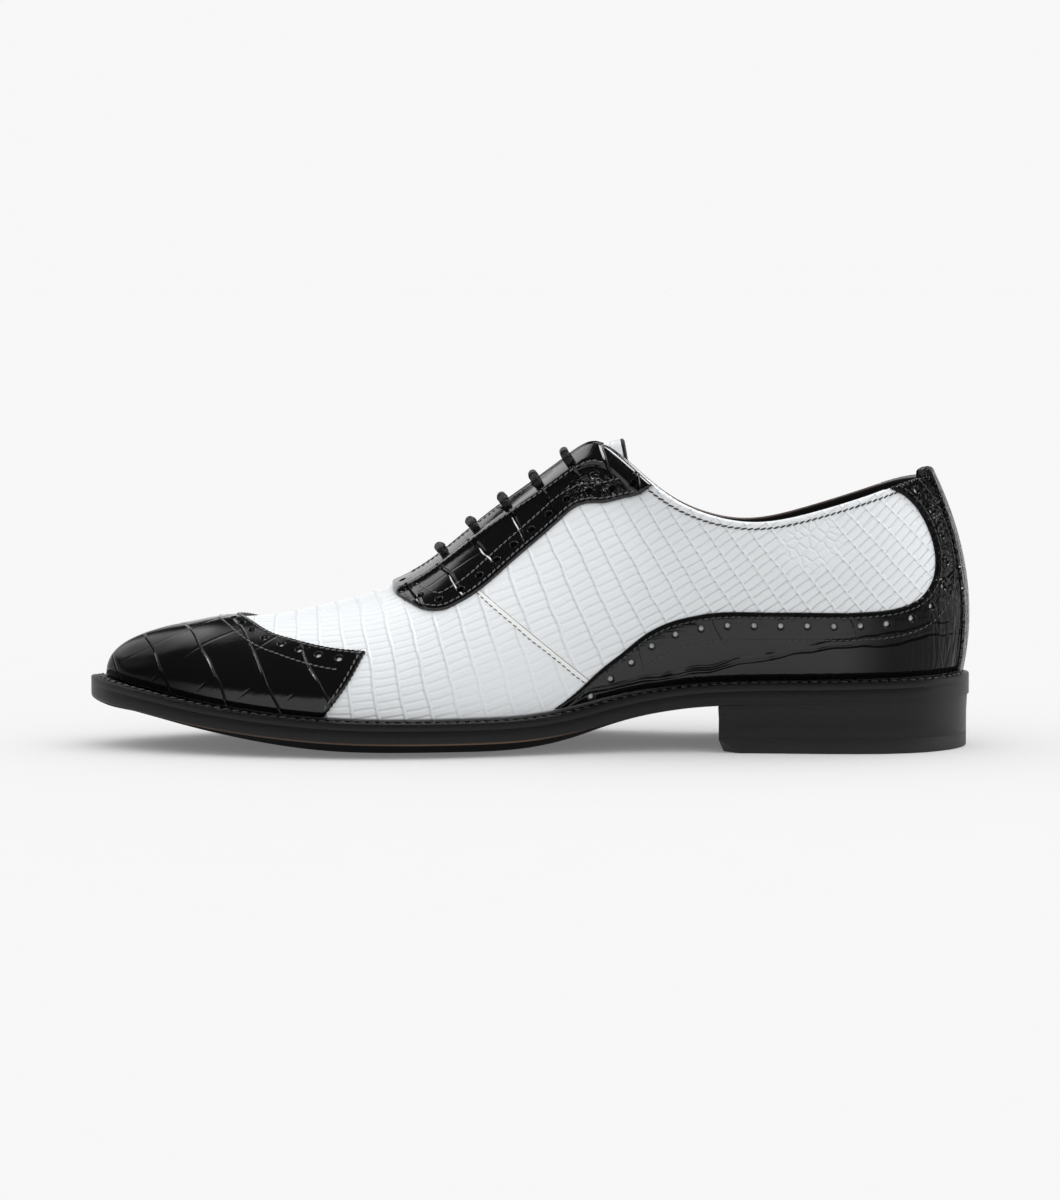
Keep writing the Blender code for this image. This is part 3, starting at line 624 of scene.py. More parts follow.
def makeLizard():
    look = Look("lizard_white", 0.36, coat=0.1, coatRough=0.25)
    edge, worn, patch, foot = [lizard[key] for key in ("seam", "worn", "patch", "foot")]
    seam = look.field("seamDistance")
    along = look.split(look.place())[0]
    flatPlace = look.calc("MULTIPLY", look.place(), (1.0, 0.0, 1.0), kind="VectorMath")

    def heelward(label):
        return along.ramp(*lizard["towardsHeel"], *lizard[label])

    def awayFrom(spot, start, end):
        away = look.calc("DISTANCE", flatPlace, spot["place"], kind="VectorMath", output="Value")
        return away.ramp(spot["near"], spot["far"], start, end)

    rear = seam.ramp(-0.05, 0.05)
    tileSets = [lizardTiles(look, label, heelward) for label in ("vampBands", "quarterBands")]
    tiles, lines, tint, stepShade = [look.mix(rear, front, back) for front, back in zip(*tileSets)]
    bare = seam.ramp(-edge["band"] - 0.2, -edge["band"] + 0.2) * seam.ramp(0.0, 0.1, 1.0, 0.0)
    smooth = (1.0 - bare) * awayFrom(worn, worn["left"], 1.0)
    groove = tiles * smooth * lines.ramp(0.0, 1.0, 1.0, 0.4)

    # a few round scales on the quarter
    inPatch = awayFrom(patch, 1.0, 0.0)
    outside = 1.0 - inPatch
    cells = look.value("ShaderNodeTexVoronoi", "Distance",
                       {"voronoi_dimensions": "2D", "feature": "DISTANCE_TO_EDGE"},
                       Vector=look.uv("quarterBands"), Scale=patch["scale"], Randomness=0.8)
    groove = look.mix(inPatch, groove, cells.ramp(0.0, patch["line"], patch["deep"], 0.0))

    # height: tiles, the steps between bands, pores, and the vamp's edge over the quarter
    height = 1.0 - groove * heelward("grooveDeep") + lines * smooth * outside + tint * lizard["tint"]
    for label, detail in (("pores", 3.0), ("waves", 2.0)):
        height += look.noise(look.place(), lizard[label]["scale"], detail) * lizard[label]["amount"]
    look.bump(height + seam.ramp(0.0, 0.35, edge["lap"], 0.0), lizard["depth"])

    # colour: painted shade in the grooves and on the band steps, cream along the seam with a painted shadow
    # line at the vamp's edge, and painted crevice shadow at the foot
    dark = stepShade * smooth * outside * heelward("stepShade") + groove * lizard["shadeShare"]
    colour = look.mixColour(dark, lizard["white"], lizard["shade"])
    colour = look.mixColour(bare * edge["creamShare"], colour, edge["cream"])
    # painted shadow line under the vamp's edge where it laps over the quarter
    cut = look.calc("ABSOLUTE", seam - edge["lapShadowAt"])
    colour = look.mixColour(cut.ramp(*edge["lapShadowSpread"], edge["lapShadowShare"], 0.0), colour, edge["dark"])
    up = look.field("upFromWelt")
    # painted crevice shadow: near black just above the welt, fading out higher up
    colour = look.mixColour(up.ramp(*foot["tall"], foot["share"], 0.0), colour, foot["creviceShadow"])
    look.set(Base_Color=colour, Roughness=groove * lizard["rough"]["groove"] + lizard["rough"]["tile"])
    return look.material


# black crocodile leather: families of grooves per panel, with the way across them, pitch and width in mm
crocodile = {
    "toe_cap": {
        "families": [
            {"across": (0.93, -0.36), "pitch": 14.6, "width": 0.5, "deep": 1.0, "broken": 0.1},
            {"across": (0.50, 0.87), "pitch": 13.4, "width": 0.9, "deep": 0.09, "broken": 0.3},
        ],
        "sway": 3.5, "swayScale": 0.03, "depth": 0.0006, "wrinkle": 0.05, "pillow": 0.10,
        "rough": 0.11, "coat": 0.04, "foot": [(0.4, 3.0, 1.7), (1.0, 12.0, 1.5)],
        "dull": {"start": (-0.126, -0.100), "level": (0.06, 0.5)},
    },
    "facing": {
        "families": [
            {"across": (0.95, -0.31), "pitch": 11.2, "width": 0.95, "deep": 1.0, "broken": 0.1},
            {"across": (0.0, 1.0), "pitch": 10.6, "width": 0.6, "deep": 0.1, "broken": 0.6},
        ],
        "sway": 4.0, "swayScale": 0.04, "depth": 0.00045, "wrinkle": 0.07, "pillow": 0.14,
        "rough": 0.12, "coat": 0.15, "fold": {"slope": 0.22, "under": 0.11},
        "glints": {"scale": 0.42, "start": (156.0, 172.0), "under": (1.5, 6.0)},
    },
    "counter": {
        "families": [
            {"across": (-0.095, 1.0), "pitch": 20.0, "shift": 27.7, "width": 1.0, "deep": 1.0, "broken": 0.3},
            {"across": (-0.13, 1.0), "pitch": 20.0, "shift": 46.1, "width": 0.8, "deep": 0.8, "broken": 0.9},
            {"across": (1.0, 0.35), "pitch": 15.0, "width": 0.5, "deep": 0.35, "broken": 0.8},
        ],
        "sway": 9.0, "swayScale": 0.03, "depth": 0.0004, "wrinkle": 0.45, "pillow": 0.1,
        "rough": 0.15, "coat": 0.05, "foot": [(0.4, 3.4, 3.0)],
        "heelFolds": [
            {"stretch": (0.26, 0.05, 1.0), "amount": 0.8, "start": (0.114, 0.136), "height": (0.054, 0.044)},
            {"stretch": (0.34, 0.28, 1.0), "amount": 1.0, "start": (0.114, 0.130), "height": (0.046, 0.056)},
        ],
        "dull": {"start": (0.104, 0.124), "level": (0.5, 0.10)},
    },
    "back_strip": {
        "families": [
            {"across": (1.0, 0.1), "pitch": 5.0, "width": 0.8, "deep": 0.7, "broken": 0.5},
            {"across": (0.1, 1.0), "pitch": 7.0, "width": 0.8, "deep": 0.8, "broken": 0.5},
        ],
        "sway": 6.0, "swayScale": 0.09, "depth": 0.0006, "wrinkle": 0.7, "pillow": 0.2,
        "rough": 0.24, "coat": 0.15,
        "heelFolds": [
            {"stretch": (0.40, 0.32, 1.0), "amount": 0.8, "start": (0.0, 0.01), "height": (0.0, 0.01)},
        ],
    },
}
crocBlack = {
    "scale": (0.0036, 0.0036, 0.004),
    "groove": (0.002, 0.002, 0.002),
    "patches": {"scale": 0.07, "edge": (0.40, 0.56)},
    "wrinkleStretch": (0.10, 0.42, 1.0),
    "pores": {"scale": 1300.0, "deep": 0.03, "rough": 0.14},
}

# where the facing folds, in mm down from the throat: it narrows from front to rear
foldLine = {"slope": -0.076, "start": 22.2}


def makeCrocodile(panelName):
    settings = crocodile[panelName]
    depth = settings["depth"]
    look = Look("crocodile_" + panelName, settings["rough"], coat=settings["coat"], coatRough=0.06)
    place = look.uv("scales")
    swayX, swayY, _ = look.split(look.swayed(place, settings["swayScale"], settings["sway"]))
    patches = look.noise(place, crocBlack["patches"]["scale"]).ramp(*crocBlack["patches"]["edge"])
    groove, pillow = None, None
    for family in settings["families"]:
        across = swayX * family["across"][0] + swayY * family["across"][1] + family.get("shift", 0.0)
        gap = look.calc("PINGPONG", across, family["pitch"] / 2)
        shown = patches * family["broken"] + (1.0 - family["broken"])
        line = gap.ramp(0.0, family["width"], family["deep"], 0.0) * shown
        swell = gap.ramp(0.0, family["pitch"] / 2)
        groove = line if groove is None else look.calc("MAXIMUM", groove, line)
        pillow = swell if pillow is None else pillow * swell
    wrinkle = look.noise(look.stretched(place, crocBlack["wrinkleStretch"]), 1.0, 4.0, 0.6)
    pores = look.noise(look.place(), crocBlack["pores"]["scale"], 3.0)
    height = 1.0 - groove + pillow * settings["pillow"] + wrinkle * settings["wrinkle"]
    height += pores * crocBlack["pores"]["deep"]
    along, down, _ = look.split(place)
    if "fold" in settings:  # the band along the throat leans inwards
        fold, glints = settings["fold"], settings["glints"]
        foldAt = along * foldLine["slope"] + foldLine["start"]
        height += look.calc("MINIMUM", down, foldAt) * (fold["slope"] * mm / depth)
        under = look.calc("MAXIMUM", down - foldAt, 0.0)
        height += under * (-fold["under"] * mm / depth)
        where = along.ramp(*glints["start"]) * under.ramp(*glints["under"])
        height += look.creased(place, glints["scale"]) * where
    if "foot" in settings:
        up = look.field("upFromWelt")
        for low, high, drop in settings["foot"]:
            height += up.ramp(low, high, -drop, 0.0)
    solidX, _, solidZ = look.split(look.place())
    for folds in settings.get("heelFolds", []):
        where = solidX.ramp(*folds["start"], 0.0, folds["amount"]) * solidZ.ramp(*folds["height"])
        height += look.creased(look.stretched(place, folds["stretch"]), 1.0) * where
    if "dull" in settings:
        look.set(Specular_IOR_Level=solidX.ramp(*settings["dull"]["start"], *settings["dull"]["level"]))
    look.bump(height, depth, coatToo=True)
    look.set(Base_Color=look.mixColour(groove, crocBlack["scale"], crocBlack["groove"]),
             Roughness=pores * crocBlack["pores"]["rough"] + (settings["rough"] - 0.05))
    return look.material


grained = {
    # colour, dark, roughness, scale, depth, coat, gloss level
    "lining_dark": ((0.016, 0.013, 0.012), (0.008, 0.006, 0.006), 0.55, 900.0, 0.00012, 0.0, 0.5),
    "cut_edge_brown": ((0.10, 0.055, 0.040), (0.04, 0.02, 0.015), 0.55, 1400.0, 0.0001, 0.0, 0.5),
    "lift_rubber_black": ((0.012, 0.012, 0.0125), (0.007, 0.007, 0.007), 0.55, 1500.0, 0.0001, 0.0, 0.5),
    # near-black underside with almost no gloss: painted shadow under the sole
    "sole_bottom_black": ((0.006, 0.005, 0.005), (0.003, 0.003, 0.003), 0.7, 420.0, 0.00012, 0.0, 0.05),
    "thread_black": ((0.05, 0.05, 0.052), (0.014, 0.014, 0.015), 0.32, 2600.0, 0.0001, 0.0, 0.5),
    # black thread lightened to grey: painted highlight on the glossy thread
    "thread_grey": ((0.12, 0.12, 0.12), (0.05, 0.05, 0.05), 0.32, 2600.0, 0.0001, 0.0, 0.5),
    "thread_brown": ((0.17, 0.15, 0.12), (0.09, 0.08, 0.06), 0.6, 2600.0, 0.0001, 0.0, 0.5),
    "punched_hole_black": ((0.006, 0.006, 0.006), (0.003, 0.003, 0.003), 0.16, 1600.0, 0.00002, 0.3, 0.5),
}


def makeGrained(name, colour, dark, rough, scale, depth, coat, level):
    look = Look(name, rough, coat=coat, coatRough=0.2, level=level)
    grain = look.noise(look.place(), scale, 5.0, 0.6)
    broad = look.noise(look.place(), scale / 18.0)
    look.bump(grain, depth)
    look.set(Base_Color=look.mixColour((grain + broad) * 0.5, dark, colour),
             Roughness=grain * 0.22 + (rough - 0.1))
    return look.material


# edge of sole and heel: waxed black with fine lines along the layers, bare tan leather by an attribute
edgeBlack = {
    "dark": (0.005, 0.005, 0.0055),
    "light": (0.008, 0.008, 0.0085),
    "bare": (0.15, 0.085, 0.048),
    "depth": 0.00009,
}


def makeEdgeBlack(name, pitch, rough):
    look = Look(name, rough, level=0.3)
    lines = look.noise(look.stretched(look.place(), (12.0, 12.0, 1.0 / (pitch * mm))), 1.0, 4.0, 0.65)
    pores = look.noise(look.place(), 1800.0, 3.0)
    look.bump(lines + pores * 0.4, edgeBlack["depth"])
    colour = look.mixColour(lines, edgeBlack["dark"], edgeBlack["light"])
    look.set(Base_Color=look.mixColour(look.field("bareEdge"), colour, edgeBlack["bare"]),
             Roughness=pores * 0.25 + (rough - 0.12))
    return look.material


def makeCord():
    look = Look("lace_black", 0.7, sheen=0.08, level=0.3)
    turned = look.value("ShaderNodeMapping", "Vector", Vector=look.uv("braid"),
                        Rotation=(0.0, 0.0, math.radians(45.0)), Scale=(2.2, 2.2, 1.0))
    weave = look.value("ShaderNodeTexChecker", "Fac", Vector=turned, Scale=1.0)
    soft = look.value("ShaderNodeTexVoronoi", "Distance", {"voronoi_dimensions": "2D", "feature": "F1"},
                      Vector=turned, Scale=1.4, Randomness=0.15)
    look.bump(weave * 0.3 - soft, 0.00022)
    look.set(Base_Color=look.mixColour(soft, (0.014, 0.014, 0.015), (0.005, 0.005, 0.006)))
    return look.material


looks = {name: makeGrained(name, *values) for name, values in grained.items()}
looks.update({name: makeCrocodile(name) for name in crocodile})
looks["lizard"] = makeLizard()
looks["sole_edge"] = makeEdgeBlack("sole_edge_black", 1.1, 0.42)
looks["heel_stack"] = makeEdgeBlack("heel_stack_black", 2.6, 0.40)
looks["lace"] = makeCord()
print("materials made")

# edges of the panels in the side view: mm from the toe, mm above the floor
capEdge = [(52.0, 44.0), (62.0, 41.0), (72.0, 38.5), (84.0, 36.4), (96.5, 35.4), (91.0, 25.0), (83.0, 12.5)]
capCorner = 4
facingEdge = [
    (104.5, 55.4), (106.0, 53.0), (114.0, 49.4), (121.0, 48.6), (128.0, 51.0), (136.0, 56.4),
    (149.0, 67.0), (163.0, 79.0), (168.5, 83.0), (178.0, 84.6), (188.0, 87.0), (194.0, 90.6)]
counterEdge = [
    (160.0, 15.0), (172.0, 25.0), (183.0, 34.0), (193.0, 41.4), (204.0, 46.2), (219.0, 48.4),
    (240.0, 48.6), (262.0, 48.2), (276.0, 49.6), (284.5, 52.6), (289.0, 58.0), (290.5, 64.5),
    (289.5, 72.0), (286.0, 80.0), (281.0, 86.0), (274.5, 90.0)]
seamEnds = np.array([(133.9, 56.3), (171.7, 25.2)])
lowShare = 0.015
seamShare = 0.993

capMarks = marks(capEdge)
capMarks[0] = (topRow(capEdge[0][0]), 1.0)
capMarks[-1][1] = lowShare
capTop = smoothLine(capMarks[:capCorner + 1], 70)
capSide = smoothLine(capMarks[capCorner:], 36)
facingMarks = marks(facingEdge)
facingMarks[0] = (topRow(facingEdge[0][0]), seamShare)
facingMarks[-1] = (topRow(facingEdge[-1][0]), 1.0)
facingLow = smoothLine(facingMarks, 170)
counterMarks = marks(counterEdge)
counterMarks[0][1] = lowShare
counterMarks[-1] = (topRow(counterEdge[-1][0]), 1.0)
counterTop = smoothLine(counterMarks, 300)

# camera at the photo's angle: level distance, height and pitch fitted to the sole's edges
camera = {"place": (0.0, -1.5034, 0.172), "pitch": 85.354, "lens": 130.48}


def makeCamera():
    data = bpy.data.cameras.new("camera")
    data.lens = camera["lens"]
    data.sensor_width = 36.0
    data.clip_start = 0.05
    data.clip_end = 30.0
    item = addObject("camera", data)
    item.location = camera["place"]
    item.rotation_euler = (math.radians(camera["pitch"]), 0.0, 0.0)
    bpy.context.scene.camera = item


makeCamera()
print("camera placed")

# soft troughs and ridges on the upper: start and end as mm from the toe and mm down from the top line
creases = [
    {"from": (99.0, 6.0), "to": (108.0, 26.0), "depth": 0.30, "width": 3.4},
    {"from": (113.0, 22.0), "to": (121.0, 40.0), "depth": 0.26, "width": 3.8},
    {"from": (205.0, 8.0), "to": (226.0, 14.0), "depth": 0.22, "width": 4.5},
    {"from": (178.0, 30.0), "to": (196.0, 46.0), "depth": -0.25, "width": 6.0},
    {"from": (232.0, 16.0), "to": (268.0, 22.0), "depth": -0.20, "width": 6.0},
]


def creaseAt(x, down):
    total = np.zeros_like(x)
    for crease in creases:
        start, end = np.array(crease["from"]), np.array(crease["to"])
        along = end - start
        t = ((x - start[0]) * along[0] + (down - start[1]) * along[1]) / (along @ along)
        part = np.clip(t, 0.0, 1.0)
        gap = np.hypot(x - start[0] - part * along[0], down - start[1] - part * along[1])
        total -= crease["depth"] * np.exp(-(gap / crease["width"])**2) * np.sin(np.pi * np.clip(t, 0.02, 0.98))
    return total


upper = {"columns": 230, "levels": 57, "nearRim": (0.9885, 0.992, 0.995, 0.998, 1.0), "rimRound": 0.9,
         "rimSink": 0.55, "liningRise": 0.35, "crownShares": (0.4, 0.6), "crownRise": 0.35,
         "whiteRim": (193.0, 273.5), "underCounter": 0.975, "fanPoint": (57.5, 297.4),
         "fanReach": (42.5, 222.0), "vampReach": 239.0, "vampLow": 8.0}


# tile places in mm: bands that fan out from a far point
def bandMaps(points, up):
    right, below = points[:, 0] - upper["fanPoint"][0], upper["fanPoint"][1] - points[:, 2]
    vampBelow = upper["fanPoint"][1] - upper["vampLow"] - up
    vamp = np.stack([np.hypot(right, vampBelow), upper["vampReach"] * np.arctan2(right, vampBelow)], axis=1)
    turn = np.arctan2(right, below)  # bands get narrower towards the heel
    across = upper["fanReach"][0] * turn + upper["fanReach"][1] * turn**2
    return vamp, np.stack([np.hypot(right, below), across], axis=1)


def seamGap(points):
    along = seamEnds[1] - seamEnds[0]
    along = along / np.linalg.norm(along)
    return (points[:, 0] - seamEnds[0][0]) * -along[1] + (points[:, 2] - seamEnds[0][1]) * along[0]


def makeUpper():
    ring = evenRing(upper["columns"])
    shares = np.concatenate([np.linspace(0.0, 0.984, upper["levels"]), upper["nearRim"]])
    row, share = np.repeat(ring, len(shares)), np.tile(shares, len(ring))
    tall = tallAt(folded(row))
    down = (1.0 - share) * tall
    near = np.clip(1.0 - down / upper["rimRound"], 0.0, 1.0) * isParted(row)
    fold = 1.0 - np.sqrt(np.maximum(1.0 - near**2, 0.0))
    outer = skinAt(row, share, -upper["rimSink"] * fold + creaseAt(surfaceAt(row, share)[:, 0], down))
    inner = skinAt(row, share, -last["wall"] + upper["liningRise"] * fold)
    facingOutline = np.concatenate([facingLow, [[facingLow[-1][0], 1.5], [facingLow[0][0], 1.5]]])
    covered = inside(toFlat(np.stack([folded(row), share], axis=1)), toFlat(facingOutline))
    covered |= (folded(row) > counterTop[-1][0]) & (share > upper["underCounter"])
    faces = netFaces(len(ring), len(shares), True, False)
    outer, faces, inner, up, share, covered = weld(outer, faces, inner, share * tall, share, covered)
    count = len(outer)
    rim = rimOf(faces)
    onRim = sorted({v for edge in rim for v in edge})
    # the rim is rounded, white outside and brown inside
    middle = {v: 2 * count + k for k, v in enumerate(onRim)}
    outerShare, innerShare = upper["crownShares"]
    crown = outerShare * outer[onRim] + innerShare * inner[onRim]
    crown += upward * (upper["crownRise"] * (share[onRim] > 0.99))[:, None]
    allFaces = faces + turnedOver(faces, count)
    allFaces += [(b, a, middle[a], middle[b]) for a, b in rim]
    allFaces += [(middle[b], middle[a], a + count, b + count) for a, b in rim]
    bare = [upper["whiteRim"][0] < outer[a][0] < upper["whiteRim"][1] for a, b in rim]
    skins = [3 if covered[list(f)].all() else 0 for f in faces] + [1] * len(faces)
    skins += [0 if b else 3 for b in bare] + [2 if b else 3 for b in bare]
    points = np.concatenate([outer, inner, crown])
    up = np.concatenate([up, up, up[onRim]])
    vamp, quarter = bandMaps(points, up)
    skinLooks = [looks[name] for name in ("lizard", "lining_dark", "cut_edge_brown", "punched_hole_black")]
    piece = makePiece("upper_leather", points, allFaces, skinLooks, skins,
                      {"vampBands": vamp, "quarterBands": quarter},
                      {"seamDistance": seamGap(points), "upFromWelt": up}, 50.0)
    finishPiece(piece, "white_leather", "upper")


makeUpper()
print("upper made")

panel = {"low": 0.06, "rimRound": 0.9, "thinRim": 0.35, "rings": (0.22, 0.5, 1.0), "holeSides": 20}
toeCap = {"spacing": 1.7, "holeInset": 4.3, "holePitch": 7.4, "holeRadius": 1.42, "gaps": (5.0, 8.5),
          "teeth": 0.3}
facing = {"spacing": 1.5, "holeInset": 4.2, "holePitch": 8.0, "holeRadius": 1.42, "gaps": (7.0, 6.0),
          "eyeletRadius": 1.6, "swell": ((0.0, 0.3, 0.6, 0.93, 1.02, 1.16), (0.0, 0.3, 0.65, 0.95, 0.85, 0.0))}
counter = {"spacing": 1.9, "holeInset": -4.6, "holePitch": 9.1, "holeRadius": 1.42, "gaps": (12.0, 9.5),
           "rimRound": 1.5, "flatScales": True}
lace = {"first": 122.3, "pitch": 10.7, "count": 5, "reach": 0.41, "lean": (0.7, 1.5), "wide": 3.1, "thick": 2.6}
punched = []


# a circle on the surface, laid out flat
def flatCircle(row, share, radius, count):
    across, climb = slopesAt(np.array([row]), np.array([min(share, 0.998)]))
    across, climb = across[0], climb[0]
    first = across / np.linalg.norm(across)
    second = climb - first * (climb @ first)
    second /= np.linalg.norm(second)
    matrix = np.array([[across @ first, climb @ first], [across @ second, climb @ second]])
    turn = np.linspace(0.0, 2 * math.pi, count, endpoint=False)
    step = np.linalg.solve(matrix, radius * np.stack([np.cos(turn), np.sin(turn)]))
    return toFlat(np.stack([row + step[0], share + step[1]], axis=1))


def clearOf(points, circles):
    keep = np.ones(len(points), bool)
    for circle in circles:
        keep &= ~inside(points, circle)
    return keep


# flat net of triangles inside an outline, with rows of points along its rims and holes left open
def flatNet(outline, rims, holes, spacing):
    flat = toFlat(outline)
    circles = [flatCircle(*hole, panel["holeSides"]) for hole in holes]
    rows = []
    for rim in rims:
        for depth in panel["rings"]:
            moved = toFlat(insetLine(rim, sideOf(rim, depth, outline)))
            rows.append(moved[inside(moved, flat)])
    lowest, highest = flat.min(axis=0), flat.max(axis=0)
    grid = []
    for j, y in enumerate(np.arange(lowest[1] + 0.5 * spacing, highest[1], 0.87 * spacing)):
        shift = 0.25 * spacing if j % 2 else 0.75 * spacing
        line = np.arange(lowest[0] + shift, highest[0], spacing)
        grid.append(np.stack([line, np.full_like(line, y)], axis=1))
    grid = np.concatenate(grid)
    grid = grid[inside(grid, flat)]
    grid = grid[nearest(grid, np.concatenate([flat] + rows + circles)) > 0.5 * spacing]
    loose = [line[clearOf(line, circles)] for line in rows + [grid]]
    edges, start = [], 0
    for loop in [flat] + circles:
        edges += [(start + k, start + (k + 1) % len(loop)) for k in range(len(loop))]
        start += len(loop)
    points = np.concatenate([flat] + circles + loose)
    made = delaunay_2d_cdt([tuple(p) for p in points], edges, [], 1, 1e-5)
    points = np.array([tuple(p) for p in made[0]])
    faces = np.array([f for f in made[2] if len(f) == 3])
    faces = faces[clearOf(points[faces].mean(axis=1), circles)]
    a, b, c = points[faces].transpose(1, 0, 2)
    area = (b[:, 0] - a[:, 0]) * (c[:, 1] - a[:, 1]) - (b[:, 1] - a[:, 1]) * (c[:, 0] - a[:, 0])
    faces[area < 0] = faces[area < 0][:, ::-1]
    used, faces = np.unique(faces[np.abs(area) > 1e-6], return_inverse=True)
    return points[used], faces.reshape(-1, 3)


# overlay on the upper's own surface, with rounded rims and punched holes
def makePanel(name, node, look, outline, rims, holes, settings):
    low, high = panel["low"], last["overlay"]
    flatPoints, faces = flatNet(outline, rims, holes, settings["spacing"])
    row, share = fromFlat(flatPoints)
    base, normal = skinAt(row, share, 0.0, wantNormal=True)
    gap = nearest(base, np.concatenate([surfaceAt(*rim.T) for rim in rims]))
    part = np.clip(gap / settings.get("rimRound", panel["rimRound"]), 0.0, 1.0)
    thin = panel["thinRim"]
    lift = low + (high - low) * (thin + (1.0 - thin) * np.sqrt(1.0 - (1.0 - part)**2))
    tall = tallAt(folded(row))
    down = (1.0 - share) * tall
    if "swell" in settings:
        foldAt = foldLine["start"] + foldLine["slope"] * base[:, 0]
        lift = lift + part * np.interp(down / np.maximum(foldAt, 4.0), *settings["swell"])
    scales = flatPoints if "flatScales" in settings else np.stack([base[:, 0], down], axis=1)
    outer, faces, inner, scales, up = weld(
        base + normal * lift[:, None], faces, base + normal * low, scales, share * tall)
    piece = makePiece(name, np.concatenate([outer, inner]), closedSheet(faces, len(outer)), [looks[look]],
                      None, {"scales": np.tile(scales, (2, 1))}, {"upFromWelt": np.tile(up, 2)}, 48.0)
    finishPiece(piece, "black_leather", node)


# a row of holes along a panel's edge, at even distances
def holeRow(line, outline, settings):
    moved = insetLine(line, sideOf(line, settings["holeInset"], outline))
    length = lengthAlong(surfaceAt(moved[:, 0], np.clip(moved[:, 1], 0.0, 1.0)))
    start, end = settings["gaps"][0], length[-1] - settings["gaps"][1]
    at = np.linspace(start, end, int(round((end - start) / settings["holePitch"])) + 1)
    return [(row, share, settings["holeRadius"]) for row, share in lapShadowAt(moved, length, at)]


def flipSide(holes, about=fullRound):
    return [(about - row, share, radius) for row, share, radius in holes]


def makeToeCap():
    rim = evenLine(np.concatenate([capSide[::-1], capTop[::-1][1:]]), 0.9)
    inward = sideOf(rim, toeCap["teeth"], np.concatenate([rim, [[0.0, 1.0], [0.0, lowShare]]]))
    rim[2:-2:2] = insetLine(rim, inward)[2:-2:2]
    rim[-1] = (capTop[0][0], 1.0)
    other = mirrored(rim, 0.0)
    crest = levelLine(rim[-1][0], -rim[-1][0], 121, 1.0)
    foot = levelLine(-rim[0][0], rim[0][0], 241, lowShare)
    outline = np.concatenate([rim, crest, other, foot])
    holes = holeRow(capTop, outline, toeCap)
    holes += flipSide(holes, 0.0)
    punched.extend(holes)
    makePanel("toe_cap_leather", "toe_cap", "toe_cap", outline, [rim, other], holes, toeCap)


# row of a lace bar, its reach as a share of the wall, and how far its ends lean back
def laceRow(k):
    place = lace["first"] + lace["pitch"] * k
    row = topRow(place)
    reach = lace["reach"] * (foldLine["start"] + foldLine["slope"] * place)
    return row, reach / float(tallAt(row)), np.interp(k, (0, lace["count"] - 1), lace["lean"])


def makeFacings():
    low = evenLine(facingLow, 0.9)
    crest = levelLine(low[-1][0], low[0][0], 140, 1.0)
    crest[~isParted(crest[:, 0]), 1] = seamShare
    outline = np.concatenate([low, crest])
    rims = [low, np.concatenate([low[-1:], crest, low[:1]])]
    holes = holeRow(facingLow, outline, facing)
    punched.extend(holes + flipSide(holes))
    for row, reach, lean in [laceRow(k) for k in range(lace["count"])]:
        holes.append((row + lean * reach, 1.0 - reach, facing["eyeletRadius"]))
    makePanel("facing_inner_leather", "facing_medial", "facing", outline, rims, holes, facing)
    makePanel("facing_outer_leather", "facing_lateral", "facing", mirrored(outline),
              [mirrored(r) for r in rims], flipSide(holes), facing)


def makeCounter():
    inner = evenLine(counterTop, 0.9)
    outer = mirrored(inner)
    crest = levelLine(inner[-1][0], outer[0][0], 60, 1.0)
    ends = toFlat(np.array([outer[-1], inner[0]]))
    lowRow, _ = fromFlat(np.linspace(ends[0], ends[1], 300)[1:-1])
    low = np.stack([lowRow, np.full_like(lowRow, lowShare)], axis=1)
    top = np.concatenate([inner, crest, outer])
    outline = np.concatenate([top, low])
    holes = holeRow(counterTop, outline, counter)
    holes += flipSide(holes)
    punched.extend(holes)
    makePanel("counter_leather", "counter", "counter", outline, [top], holes, counter)


makeToeCap()
makeFacings()
makeCounter()
print("panels made,", len(punched), "punched holes")

backStrip = {"half": 11.5, "thick": 0.8, "low": 1.35, "columns": 34, "levels": 80,
             "foldRadius": 2.3, "foldSteps": 14, "foldDown": 2.4, "softFrom": 0.93,
             "foldRise": (0.65, 0.35), "waves": [(0.14, 7.0, 0.6), (0.10, 17.0, 0.0)]}


